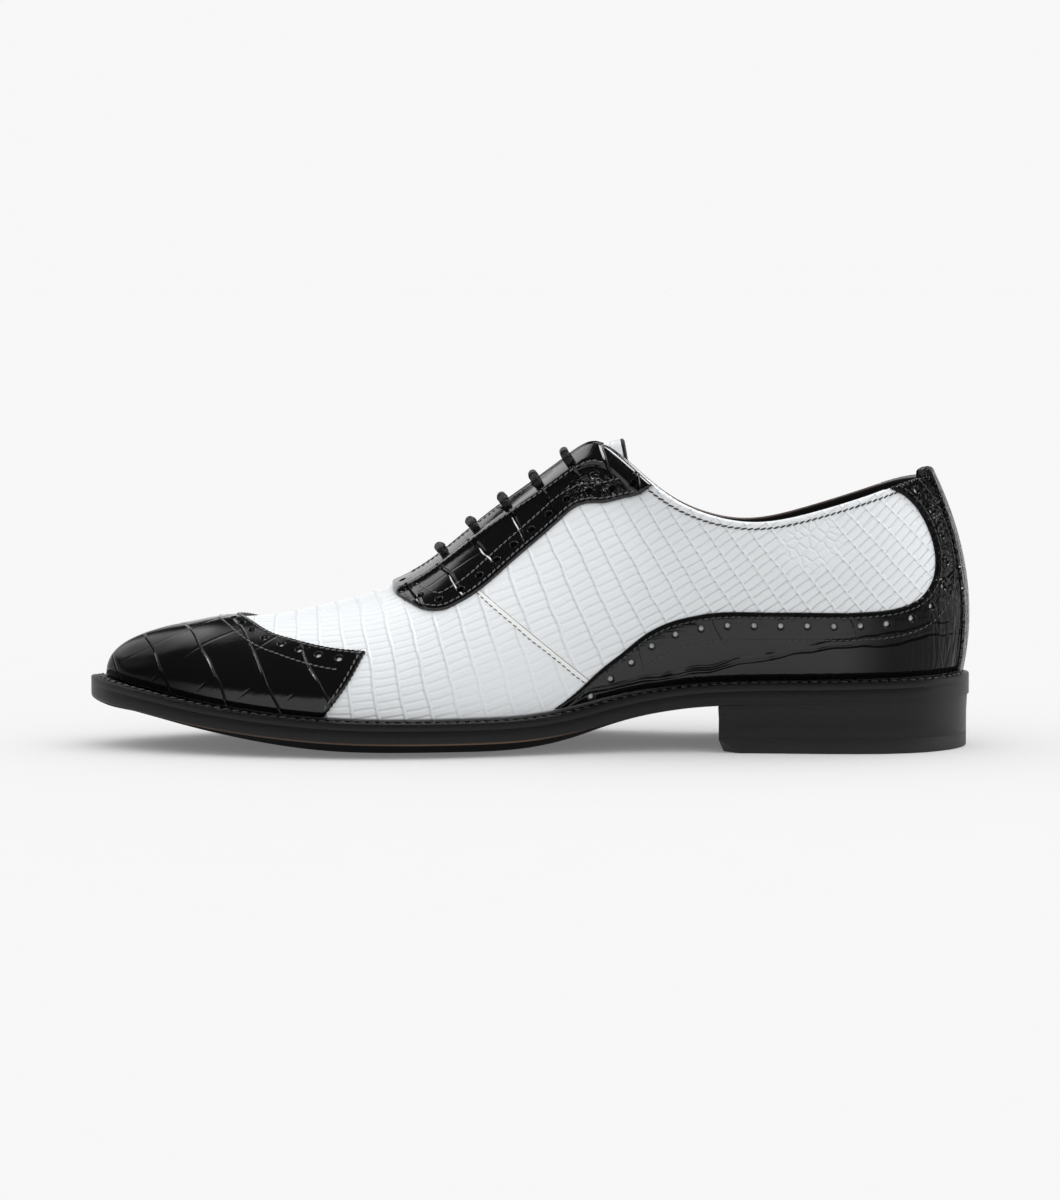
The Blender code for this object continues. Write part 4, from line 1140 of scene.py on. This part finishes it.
# strip over the back seam, its top folded over the collar as a small rough tab
def makeBackStrip():
    thick, radius = backStrip["thick"], backStrip["foldRadius"]
    middle = toFlat(np.array([[lastRow, 0.0]]))[0, 0]
    tall = float(tallAt(lastRow))
    riseOut, riseIn = backStrip["foldRise"]
    sideways = np.linspace(-1.0, 1.0, backStrip["columns"])
    shares = np.linspace(lowShare, 1.0, backStrip["levels"])
    turns = np.linspace(0.0, math.pi, backStrip["foldSteps"] + 1)[1:]
    end = tall + math.pi * radius + backStrip["foldDown"]
    length = np.concatenate([shares * tall, tall + turns * radius, [end]])
    outer, inner, scales = [], [], []
    for s in sideways:
        at = middle + s * backStrip["half"]
        row = np.full(len(shares), np.interp(at, flatLength, flatRow))
        base, normal = skinAt(row, shares, 0.0, wantNormal=True)
        near = (abs(s) - backStrip["softFrom"]) / (1.0 - backStrip["softFrom"])
        soft = math.sqrt(1.0 - np.clip(near, 0.0, 0.95)**2)
        above, under = base + normal * (backStrip["low"] + thick * soft), base + normal * backStrip["low"]
        level = normal[-1] * [1.0, 1.0, 0.0]
        level /= np.linalg.norm(level)
        centre = above[-1] - level * radius
        wave = 1.0 + sum(size * math.sin(speed * s + start) for size, speed, start in backStrip["waves"])
        out, rise = np.outer(np.cos(turns), level), np.outer(np.sin(turns), upward) * wave
        above = np.concatenate([above, centre + (out + riseOut * rise) * radius])
        under = np.concatenate([under, centre + (out - riseIn * rise) * (radius - thick * soft)])
        drop = upward * backStrip["foldDown"] * wave
        outer.append(np.concatenate([above, above[-1:] - drop]))
        inner.append(np.concatenate([under, under[-1:] - drop]))
        scales.append(np.stack([np.full(len(length), at), length], axis=1))
    faces = netFaces(len(sideways), len(length), False, False)
    count = len(sideways) * len(length)
    piece = makePiece("back_strip_leather", np.concatenate(outer + inner), closedSheet(faces, count),
                      [looks["back_strip"]], maps={"scales": np.concatenate(scales + scales)}, sharp=50.0)
    finishPiece(piece, "black_leather", "back_strip")


makeBackStrip()

tongue = {"start": 113.0, "end": 171.0, "gap": 0.6, "thick": 1.8, "reach": (0.30, 0.40), "lean": 1.3,
          "climb": (12.0, 0.0, 3.4), "narrowing": 0.16, "rows": 60, "half": 22, "topRows": 14}


# a line from the inner side over the throat to the outer side, as two halves
def overThroat(row, away, lean, offset):
    near = skinAt(row + lean * away, 1.0 - away, offset)
    far = skinAt(fullRound - row - lean * away, 1.0 - away, offset)
    return near, far[::-1]


def makeTongue():
    rows = np.linspace(topRow(tongue["start"]), topRow(tongue["end"]), tongue["rows"])
    reach = np.linspace(*tongue["reach"], tongue["rows"])
    steps = np.linspace(1.0, 0.0, tongue["half"])
    skinPoints = []
    for depth in (-last["wall"] - tongue["gap"], -last["wall"] - tongue["gap"] - tongue["thick"]):
        lines = []
        for row, wide in zip(rows, reach):
            near, far = overThroat(row, wide * steps, tongue["lean"], depth)
            lines.append(np.concatenate([near[:-1], [0.5 * (near[-1] + far[0])], far[1:]]))
        end = lines[-1]
        middle = end.mean(axis=0)
        for k in np.linspace(0.0, 1.0, tongue["topRows"])[1:]:
            grown = end + np.array(tongue["climb"]) * k
            grown[:, 1] = middle[1] + (grown[:, 1] - middle[1]) * (1.0 - tongue["narrowing"] * k)
            lines.append(grown)
        skinPoints.append(np.concatenate(lines))
    wide = 2 * tongue["half"] - 1
    faces = netFaces(tongue["rows"] + tongue["topRows"] - 1, wide, False, False)
    allFaces = closedSheet(faces, len(skinPoints[0]))
    white = len(faces) - (wide - 1)  # the last row of faces is dark
    skins = [0] * white + [1] * (len(allFaces) - white)
    points = np.concatenate(skinPoints)
    bands = points[:, [1, 0]]
    far = np.ones(len(points))
    piece = makePiece("tongue_leather", points, allFaces, [looks["lizard"], looks["lining_dark"]], skins,
                      {"vampBands": bands, "quarterBands": bands},
                      {"seamDistance": -20.0 * far, "upFromWelt": 50.0 * far}, 50.0)
    finishPiece(piece, "white_leather", "tongue")


makeTongue()
print("tongue and back strip made")

cord = {"cuts": 900, "sides": 16, "lift": 0.6, "deep": 0.9, "round": 8.0,
        "endAway": (1.04, 1.03, 1.02, 0.98, 0.90), "through": (-0.8, 0.6), "dips": (0.45, 0.05),
        "barFrom": 0.78, "barPoints": 9}


# one lace: over in a straight bar, through the eyelet, up inside to the next pair
def makeLace():
    high = last["overlay"] + 0.5 * lace["thick"] + cord["lift"]
    deep = -last["wall"] - cord["deep"]
    bars = []
    for k in range(lace["count"]):
        row, reach, lean = laceRow(k)
        away = reach * np.append(cord["endAway"], np.linspace(cord["barFrom"], 0.0, cord["barPoints"]))
        ends = [deep, *cord["through"]] + [high - dip for dip in cord["dips"]]
        lift = np.append(ends, np.full(cord["barPoints"], high))
        bar = np.concatenate(overThroat(row, away, lean, lift))
        bars.append(bar[::-1] if k % 2 else bar)
    route = smoothLine(np.concatenate(bars), cord["cuts"])
    along = np.gradient(route, axis=0)
    along /= np.linalg.norm(along, axis=1)[:, None]
    side = np.cross(along, np.array([-0.6, 0.0, 0.8]))
    steep = np.linalg.norm(side, axis=1) < 0.3
    side[steep] = np.cross(along[steep], np.array([0.8, 0.0, 0.6]))
    side /= np.linalg.norm(side, axis=1)[:, None]
    up = np.cross(side, along)
    turn = 2 * math.pi * np.arange(cord["sides"]) / cord["sides"]
    wide, thick = 0.5 * lace["wide"] * np.cos(turn), 0.5 * lace["thick"] * np.sin(turn)
    levels = [centre + np.outer(wide, s) + np.outer(thick, u) for centre, s, u in zip(route, side, up)]
    points, faces = closedTube(levels)
    across = np.arange(cord["sides"]) * cord["round"] / cord["sides"]
    braid = np.stack([np.repeat(lengthAlong(route), cord["sides"]), np.tile(across, len(route))], axis=1)
    piece = makePiece("lace", points, faces, [looks["lace"]], maps={"braid": braid})
    finishPiece(piece, "lace_cord", *["lace_bar_%d" % (k + 1) for k in range(lace["count"])])


makeLace()
print("lace run through the eyelets")

sole = {"toeEnd": 17.0, "heelEnd": 24.0, "columns": 190, "bevelEnd": (203.0, 214.0), "bareLevel": 10,
        "underShares": (0.0, 0.15, 0.3, 0.45, 0.6, 0.72, 0.84, 0.92), "overShares": (0.75, 0.4, 0.0),
        "insoleUnder": (0.0, 0.4, 0.75, 1.0), "insoleOver": (1.0, 0.9, 0.75, 0.5, 0.25, 0.0),
        "bare": ((14.0, 40.0, 98.0, 116.0, 152.0, 174.0), (0.0, 0.6, 0.7, 1.0, 1.0, 0.0))}


# one ring of the bottom: inset from the edge in mm, share of the way out from the middle, lift in mm
def soleLayer(row, inset, share, lift):
    plan, outward = planAt(row), outwardAt(row)
    kept = np.clip(folded(row), *edgeRow([sole["toeEnd"], last["length"] - sole["heelEnd"]]))
    middle = 0.5 * (planAt(kept) + planAt(-kept))
    here = columnsAt(kept)
    middleLow = here["bottom"] - here["crown"]
    place = middle + share * (plan - outward * inset[:, None] - middle)
    reach = np.linalg.norm(place - middle, axis=1) / np.linalg.norm(plan - middle, axis=1)
    low = np.maximum(middleLow + (columnsAt(row)["bottom"] - middleLow) * reach**3, 0.0)
    return np.concatenate([place, (low + lift)[:, None]], axis=1)


def makeSole():
    row = evenRing(sole["columns"])
    here = columnsAt(row)
    none = np.zeros_like(row)
    tall, gap = last["outsole"], last["gap"]
    bevel = 1.0 - np.clip((here["x"] - sole["bevelEnd"][0]) / np.ptp(sole["bevelEnd"]), 0.0, 1.0)
    profile = [(none, k, 0.0) for k in sole["underShares"]]
    profile += [(none + 1.8, 1.0, 0.0), (0.7 * bevel, 1.0, 0.0), (0.45 * bevel, 1.0, 0.08 * bevel)]
    profile += [(0.08 * bevel, 1.0, 0.55 * bevel + 0.01), (none, 1.0, 1.1), (none, 1.0, 0.5 * tall)]
    profile += [(none, 1.0, tall + 0.2), (none + 0.05, 1.0, tall + gap)]
    profile += [(none, k, tall) for k in sole["overShares"]]
    points = np.concatenate([soleLayer(row, *layer) for layer in profile])
    faces = netFaces(len(profile), len(row), False, True)
    level = np.repeat(np.arange(len(profile)), len(row))
    bare = np.tile(np.interp(here["x"], *sole["bare"]), len(profile)) * (level == sole["bareLevel"])
    points, faces, bare, under = weld(points, faces, bare, level < sole["bareLevel"])
    # faces of the underside get the near-black look, a painted shadow under the sole
    skins = [int(under[list(f)].all()) for f in faces]
    skinLooks = [looks["sole_edge"], looks["sole_bottom_black"]]
    piece = makePiece("outsole_leather", points, faces, skinLooks, skins, fields={"bareEdge": bare}, sharp=40.0)
    finishPiece(piece, "sole_leather", "outsole")

    within = here["ledge"] + last["wall"] + gap
    low, top = tall + gap, here["bottom"] + soleEdge
    lines = [soleLayer(row, inset, 1.0, lift) for inset, lift in (
        (within, low), (none + 0.05, low), (none, low + 0.12))]
    rounded = [(none, 0.5), (none + 0.15, 0.15), (none + 0.5, 0.0), (0.5 * within, 0.0), (within, 0.0)]
    for inset, drop in rounded:
        lines.append(soleLayer(row, inset, 1.0, 0.0))
        lines[-1][:, 2] = top - drop
    piece = makePiece("welt_strip", np.concatenate(lines), netFaces(len(lines), len(row), True, True),
                      [looks["sole_edge"]], sharp=40.0)
    finishPiece(piece, "sole_leather", "welt")

    within = here["ledge"] + last["wall"] + 3 * gap
    low = tall + 2 * gap
    profile = [(k, low) for k in sole["insoleUnder"]]
    profile += [(k, low + last["insole"]) for k in sole["insoleOver"]]
    points = np.concatenate([soleLayer(row, within, *layer) for layer in profile])
    points, faces = weld(points, netFaces(len(profile), len(row), False, True))
    piece = makePiece("sock_lining", points, faces, [looks["lining_dark"]], sharp=50.0)
    finishPiece(piece, "lining_leather", "insole")


makeSole()
print("sole layers made")

heel = {"breast": 216.0, "skew": 5.0, "hollow": 4.0, "inset": 0.2, "taper": 0.7, "cut": (7.0, 9.0, 4.6),
        "backCount": 130, "breastCount": 40}


def heelOutline(inset):
    start, end = edgeRow([heel["breast"], heel["breast"] + heel["skew"]])
    rows = np.linspace(start, fullRound - end, heel["backCount"])
    back = planAt(rows) - outwardAt(rows) * inset
    across = np.linspace(0.0, 1.0, heel["breastCount"])[1:-1]
    breast = back[-1] + (back[0] - back[-1]) * across[:, None]
    breast[:, 0] += heel["hollow"] * 4.0 * across * (1.0 - across)
    return np.concatenate([back, breast])


# levels: inset towards the middle and height, from the lowest up; no height means up to the sole
def stackedSolid(name, outline, levels, look):
    away = outline - outline.mean(axis=0)
    away /= np.linalg.norm(away, axis=1)[:, None]
    lines = []
    for inset, height in levels:
        plan = outline - away * inset
        seat = np.interp(plan[:, 0], station, table[:, 3]) - 0.05
        tall = seat if height is None else np.full(len(plan), height)
        lines.append(np.concatenate([plan, tall[:, None]], axis=1))
    return makePiece(name, *closedTube(lines), [looks[look]], sharp=40.0)


def makeHeel():
    top, low = heelOutline(heel["inset"]), heelOutline(heel["taper"])
    shrink = np.ptp(low[:, 1]) / np.ptp(top[:, 1])
    small = low.mean(axis=0) + (top - low.mean(axis=0)) * shrink
    lift = last["topLift"]
    levels = [(0.06, lift + 0.02), (0.0, lift + 0.14), (0.0, 9.0), (0.0, 12.0), (-0.3, None)]
    finishPiece(stackedSolid("heel_stack", small, levels, "heel_stack"), "heel_stack", "heel_block")
    levels = [(0.5, 0.0), (0.12, 0.2), (0.0, 0.6), (0.0, lift - 0.1), (0.06, lift)]
    piece = stackedSolid("heel_lift", small, levels, "lift_rubber_black")

    # the lift's inner front corner is cut off
    body = bmesh.new()
    body.from_mesh(piece.data)
    cut = np.array(heel["cut"])
    where = Vector((np.append(small[0], 0.0) + [cut[0], 0.0, 0.0] - middlePlace) * mm)
    done = bmesh.ops.bisect_plane(body, geom=body.verts[:] + body.edges[:] + body.faces[:], plane_co=where,
                                  plane_no=Vector(-1.0 / cut), clear_outer=True, dist=1e-7)
    bmesh.ops.holes_fill(body, edges=[e for e in done["geom_cut"] if isinstance(e, bmesh.types.BMEdge)])
    bmesh.ops.recalc_face_normals(body, faces=body.faces)
    body.to_mesh(piece.data)
    body.free()
    creaseSharp(piece, 40.0)
    finishPiece(piece, "lift_rubber", "top_lift")


makeHeel()
print("heel made")


# Geometry Nodes: stitches along a line, and punched cups on points
def newGroup(name, inputs):
    tree = bpy.data.node_groups.new(name, "GeometryNodeTree")
    tree.interface.new_socket("Geometry", in_out="INPUT", socket_type="NodeSocketGeometry")
    for label, kind in inputs.items():
        tree.interface.new_socket(label, in_out="INPUT", socket_type="NodeSocket" + kind)
    tree.interface.new_socket("Geometry", in_out="OUTPUT", socket_type="NodeSocketGeometry")
    group = Graph(tree)
    return group, group.add("NodeGroupInput").outputs


def standUp(group):
    up = group.value("GeometryNodeInputNamedAttribute", "Attribute", {"data_type": "FLOAT_VECTOR"}, Name="up")
    return group.value("FunctionNodeAlignRotationToVector", "Rotation", {"axis": "Z"}, Vector=up)


def closeGroup(group, given, points, instance, turn, scale):
    geometry = group.value("GeometryNodeInstanceOnPoints", "Instances",
                           Points=points, Instance=instance, Rotation=turn, Scale=scale)
    for kind in ("RealizeInstances", "SetShadeSmooth"):
        geometry = group.value("GeometryNode" + kind, "Geometry", Geometry=geometry)
    geometry = group.value("GeometryNodeSetMaterial", "Geometry", Geometry=geometry, Material=given["Material"])
    group.add("NodeGroupOutput", Geometry=geometry)
    return group.tree


def stitchGroup():
    group, given = newGroup("stitches", {"Pitch": "Float", "Thread Size": "Vector", "Slant": "Vector",
                                         "Material": "Material"})
    curve = group.value("GeometryNodeMeshToCurve", "Curve", Mesh=given["Geometry"])
    curve = group.value("GeometryNodeResampleCurve", "Curve", {"mode": "LENGTH"},
                        Curve=curve, Length=given["Pitch"])
    thread = group.value("GeometryNodeMeshUVSphere", "Mesh", Segments=8, Rings=6, Radius=1.0)
    tangent = group.value("GeometryNodeInputTangent", "Tangent")
    turn = group.value("FunctionNodeAlignRotationToVector", "Rotation", {"axis": "X", "pivot_axis": "Z"},
                       Rotation=standUp(group), Vector=tangent)
    slant = group.value("FunctionNodeEulerToRotation", "Rotation", Euler=given["Slant"])
    turn = group.value("FunctionNodeRotateRotation", "Rotation", {"rotation_space": "LOCAL"},
                       Rotation=turn, Rotate_By=slant)
    return closeGroup(group, given, curve, thread, turn, given["Thread Size"])


def punchGroup():
    group, given = newGroup("punched_holes", {"Cup": "Object", "Size": "Vector", "Material": "Material"})
    cup = group.value("GeometryNodeObjectInfo", "Geometry", Object=given["Cup"])
    return closeGroup(group, given, given["Geometry"], cup, standUp(group), given["Size"])


def runGroup(name, group, points, normals, lines, values):
    mesh = bpy.data.meshes.new(name + "_path")
    mesh.from_pydata(((np.asarray(points) - middlePlace) * mm).tolist(), lines, [])
    up = mesh.attributes.new("up", "FLOAT_VECTOR", "POINT")
    up.data.foreach_set("vector", np.asarray(normals, np.float32).ravel())
    source = addObject(name + "_path", mesh)
    modifier = source.modifiers.new("nodes", "NODES")
    sockets = {s.name: s.identifier for s in group.interface.items_tree if getattr(s, "in_out", "") == "INPUT"}
    modifier.node_group = group
    for label, value in values.items():
        modifier[sockets[label]] = value
    bpy.context.view_layer.update()
    ready = source.evaluated_get(bpy.context.evaluated_depsgraph_get())
    made = bpy.data.meshes.new_from_object(ready)
    made.name = name
    source.modifiers.remove(modifier)
    bpy.data.objects.remove(source, do_unlink=True)
    return addObject(name, made)


stitches = {
    # pitch, half sizes of a stitch and lift in mm, slant in degrees
    "throat_stitches": (1.9, (0.95, 0.15, 0.12), 0.08, 0.0, "thread_black", "black_leather"),
    # the panel rows use the lightened thread: painted highlight
    "panel_stitches": (2.2, (0.98, 0.27, 0.24), 0.08, 8.0, "thread_grey", "black_leather"),
    "counter_stitches": (2.2, (0.98, 0.27, 0.24), 0.08, 8.0, "thread_black", "black_leather"),
    "top_line_stitches": (2.2, (1.16, 0.32, 0.25), 0.08, 14.0, "thread_black", "black_leather"),
    "seam_stitches": (2.1, (0.82, 0.22, 0.18), 0.06, 8.0, "thread_brown", "white_leather"),
    "welt_stitches": (3.4, (1.35, 0.42, 0.34), 0.05, 0.0, "thread_black", "sole_leather"),
}
stitchRows = {
    # inset from the edge and what is left free at both ends, in mm
    "capTop": [(1.5, 2.0, 2.1), (9.0, 2.0, 9.6)],
    "capSide": [(1.6, 2.0, 3.0)],
    "facing": [(1.4, 5.4, 3.0), (7.2, 11.2, 3.0)],
    "counter": [(1.7, 8.1, 2.0), (9.2, 30.6, 2.0)],
    # start, end, points and distance under the top line
    "throat": (110.0, 181.0, 120, 1.2),
    "collar": (193.0, 276.0, 160, 2.3),
    "throatFree": 3.0,
    "fold": {"below": 1.04, "lift": 0.8, "free": 6.0},
    "seam": {"inset": 1.45, "reach": (-0.03, 1.03), "points": 90},
    "welt": {"columns": 150, "inset": 0.45},
}
topShare = 0.985  # nothing is sewn or punched above this
stitchTree = stitchGroup()


# lines: on the surface as rows and shares with the height of what they are sewn to, or as points with normals
def sew(name, lines, onPoints=False):
    pitch, size, lift, slant, thread, slot = stitches[name]
    points, normals, edges, start = [], [], [], 0
    for line, base in lines:
        if onPoints:
            sides = [(line + upward * lift, base)]
        else:
            row, share = line[(line[:, 1] > lowShare) & (line[:, 1] < topShare)].T
            sides = [skinAt(side, share, base + lift, wantNormal=True) for side in (row, fullRound - row)]
        for place, normal in sides:
            points.append(place)
            normals.append(normal)
            edges += [(start + k, start + k + 1) for k in range(len(place) - 1)]
            start += len(place)
    piece = runGroup(name, stitchTree, np.concatenate(points), np.concatenate(normals), edges, {
        "Pitch": pitch * mm, "Thread Size": tuple(v * mm for v in size),
        "Slant": (0.0, 0.0, math.radians(slant)), "Material": looks[thread]})
    finishPiece(piece, slot)


def trimmed(line, startGap, endGap):
    fine = evenLine(line, 0.7)
    return fine[int(startGap / 0.7):len(fine) - int(endGap / 0.7)]


# rows inside a panel's edge: inset and what is left free at both ends
def rowsInside(line, outline, rows):
    side = sideOf(line, 1.0, outline)
    return [(trimmed(insetLine(line, inset * side), start, end), last["overlay"]) for inset, start, end in rows]


# a row under the top line
def underTop(start, end, count, distance):
    rows = np.linspace(topRow(start), topRow(end), count)
    line = np.stack([rows, np.ones_like(rows)], axis=1)
    moved = insetLine(line, distance)
    return moved if moved[count // 2, 1] < 1.0 else insetLine(line, -distance)


def makeStitches():
    high = last["overlay"]
    free = stitchRows["throatFree"]
    sew("throat_stitches", [(trimmed(underTop(*stitchRows["throat"]), free, free), high)])
    capOutline = np.concatenate([capTop, capSide, [[0.0, lowShare], [0.0, 1.0]]])
    facingOutline = np.concatenate([facingLow, [[facingLow[-1][0], 1.0], [facingLow[0][0], 1.0]]])
    lines = rowsInside(capTop, capOutline, stitchRows["capTop"])
    lines += rowsInside(capSide, capOutline, stitchRows["capSide"])
    lines += rowsInside(facingLow, facingOutline, stitchRows["facing"])
    start, end, count, _ = stitchRows["throat"]
    crest = np.linspace(topRow(start), topRow(end), count)
    fold = stitchRows["fold"]
    below = fold["below"] * (foldLine["start"] + foldLine["slope"] * surfaceAt(crest, 0.9)[:, 0])
    foldRow = np.stack([crest, 1.0 - below / tallAt(crest)], axis=1)
    lines.append((trimmed(foldRow, fold["free"], fold["free"]), high + fold["lift"]))
    sew("panel_stitches", lines)

    counterOutline = np.concatenate([counterTop, [[lastRow, 1.0], [lastRow, lowShare]]])
    sew("counter_stitches", rowsInside(counterTop, counterOutline, stitchRows["counter"]))
    sew("top_line_stitches", [(underTop(*stitchRows["collar"]), 0.0)])

    sewn = stitchRows["seam"]
    way = seamEnds[1] - seamEnds[0]
    seam = smoothLine(marks([seamEnds[0] + way * t for t in np.linspace(*sewn["reach"], 9)]), sewn["points"])
    moved = insetLine(seam, sewn["inset"])
    middle = sewn["points"] // 2
    if surfaceAt(*moved.T)[middle, 0] > surfaceAt(*seam.T)[middle, 0]:
        moved = insetLine(seam, -sewn["inset"])
    sew("seam_stitches", [(moved, 0.0)])

    row = np.append(evenRing(stitchRows["welt"]["columns"]), fullRound)
    here = columnsAt(row)
    ledge = soleLayer(row, stitchRows["welt"]["inset"] * here["ledge"], 1.0, 0.0)
    ledge[:, 2] = here["bottom"] + soleEdge
    sew("welt_stitches", [(ledge, np.tile(upward, (len(ledge), 1)))], onPoints=True)


makeStitches()
print("stitches sewn")

# unit ring: a soft lip and a wall that narrows downwards, open at the bottom so that the white layer shows
punch = {"radius": 1.45, "depth": 1.2, "sides": 18, "profile": [
    (1.05, -0.04), (1.0, 0.03), (0.94, 0.0), (0.84, -0.25), (0.66, -0.65), (0.52, -1.0), (1.0, -1.0)]}


def makePunches():
    turns = [2 * math.pi * k / punch["sides"] for k in range(punch["sides"])]
    points = [(r * math.cos(turn), r * math.sin(turn), height)
              for r, height in punch["profile"] for turn in turns]
    mesh = bpy.data.meshes.new("punch_cup")
    mesh.from_pydata(points, [], netFaces(len(punch["profile"]), punch["sides"], True, True))
    cup = addObject("punch_cup", mesh)
    row, share = np.array([hole[:2] for hole in punched if hole[1] < topShare]).T
    place, normal = skinAt(row, share, last["overlay"], wantNormal=True)
    size = (punch["radius"] * mm, punch["radius"] * mm, punch["depth"] * mm)
    piece = runGroup("punched_holes", punchGroup(), place, normal, [],
                     {"Cup": cup, "Size": size, "Material": looks["punched_hole_black"]})
    bpy.data.objects.remove(cup, do_unlink=True)
    finishPiece(piece, "black_leather")


makePunches()
print("holes punched")

# white seamless studio: an even dome lights the leather, while gloss mirrors a dark room in front of the shoe
studio = {
    "floorWhite": 0.4017,
    "floorGlow": 0.15,
    "backdrop": 0.935,
    "dome": {"all": 0.10, "above": 2.40, "right": 1.2},
    "room": 0.015,
    "seamless": 1.1,
    "seamlessLean": -2.6,
    "seamlessStart": (-0.12, 0.06),
    "boxes": [
        {"towards": (-0.60, 0.50, 0.63), "edge": (0.87, 0.965), "bright": 2.5},
        {"towards": (-0.90, 0.10, 0.42), "edge": (0.94, 0.98), "bright": 0.7},
        {"towards": (0.98, 0.0, 0.15), "edge": (0.955, 0.99), "bright": 1.9},
        {"towards": (0.35, 0.25, 0.90), "edge": (0.955, 0.985), "bright": 14.0},
    ],
}


def makeWorld():
    world = bpy.data.worlds.new("studio")
    bpy.context.scene.world = world
    world.use_nodes = True
    world.cycles.sampling_method = "NONE"  # the dome is smooth, and each kind of ray sees its own light
    world.node_tree.nodes.clear()
    graph = Graph(world.node_tree)
    direction = graph.value("ShaderNodeTexCoord", "Generated")
    x, y, z = graph.split(direction)
    dome = graph.calc("MAXIMUM", z, 0.0) * studio["dome"]["above"] + studio["dome"]["all"]
    dome += graph.calc("MAXIMUM", x, 0.0) * studio["dome"]["right"]
    behind = y + z * studio["seamlessLean"]
    gloss = behind.ramp(*studio["seamlessStart"], studio["room"], studio["seamless"])
    for box in studio["boxes"]:
        towards = Vector(box["towards"]).normalized()
        near = graph.calc("DOT_PRODUCT", direction, towards, kind="VectorMath", output="Value")
        gloss += near.ramp(*box["edge"], 0.0, box["bright"])
    rays = graph.add("ShaderNodeLightPath").outputs
    strength = graph.mix(rays["Is Glossy Ray"], dome, gloss)
    strength = graph.mix(rays["Is Camera Ray"], strength, studio["backdrop"])
    light = graph.value("ShaderNodeBackground", 0, Color=(1.0, 1.0, 1.0), Strength=strength)
    graph.add("ShaderNodeOutputWorld", Surface=light)
    bpy.context.scene.view_settings.view_transform = "Standard"


def makeFloor():
    bpy.ops.mesh.primitive_plane_add(size=30.0, location=(0.0, 0.0, 0.0))
    floor = bpy.context.object
    floor.name = "floor"
    look = Look("floor_pale", 0.9, level=0.0)
    tone = look.noise(look.place(), 40.0) * 0.004 + (studio["floorWhite"] - 0.002)
    look.set(Base_Color=look.value("ShaderNodeCombineColor", 0, Red=tone, Green=tone, Blue=tone),
             Emission_Color=(1.0, 1.0, 1.0), Emission_Strength=studio["floorGlow"])
    floor.data.materials.append(look.material)


makeFloor()
makeWorld()
print("stage lit")
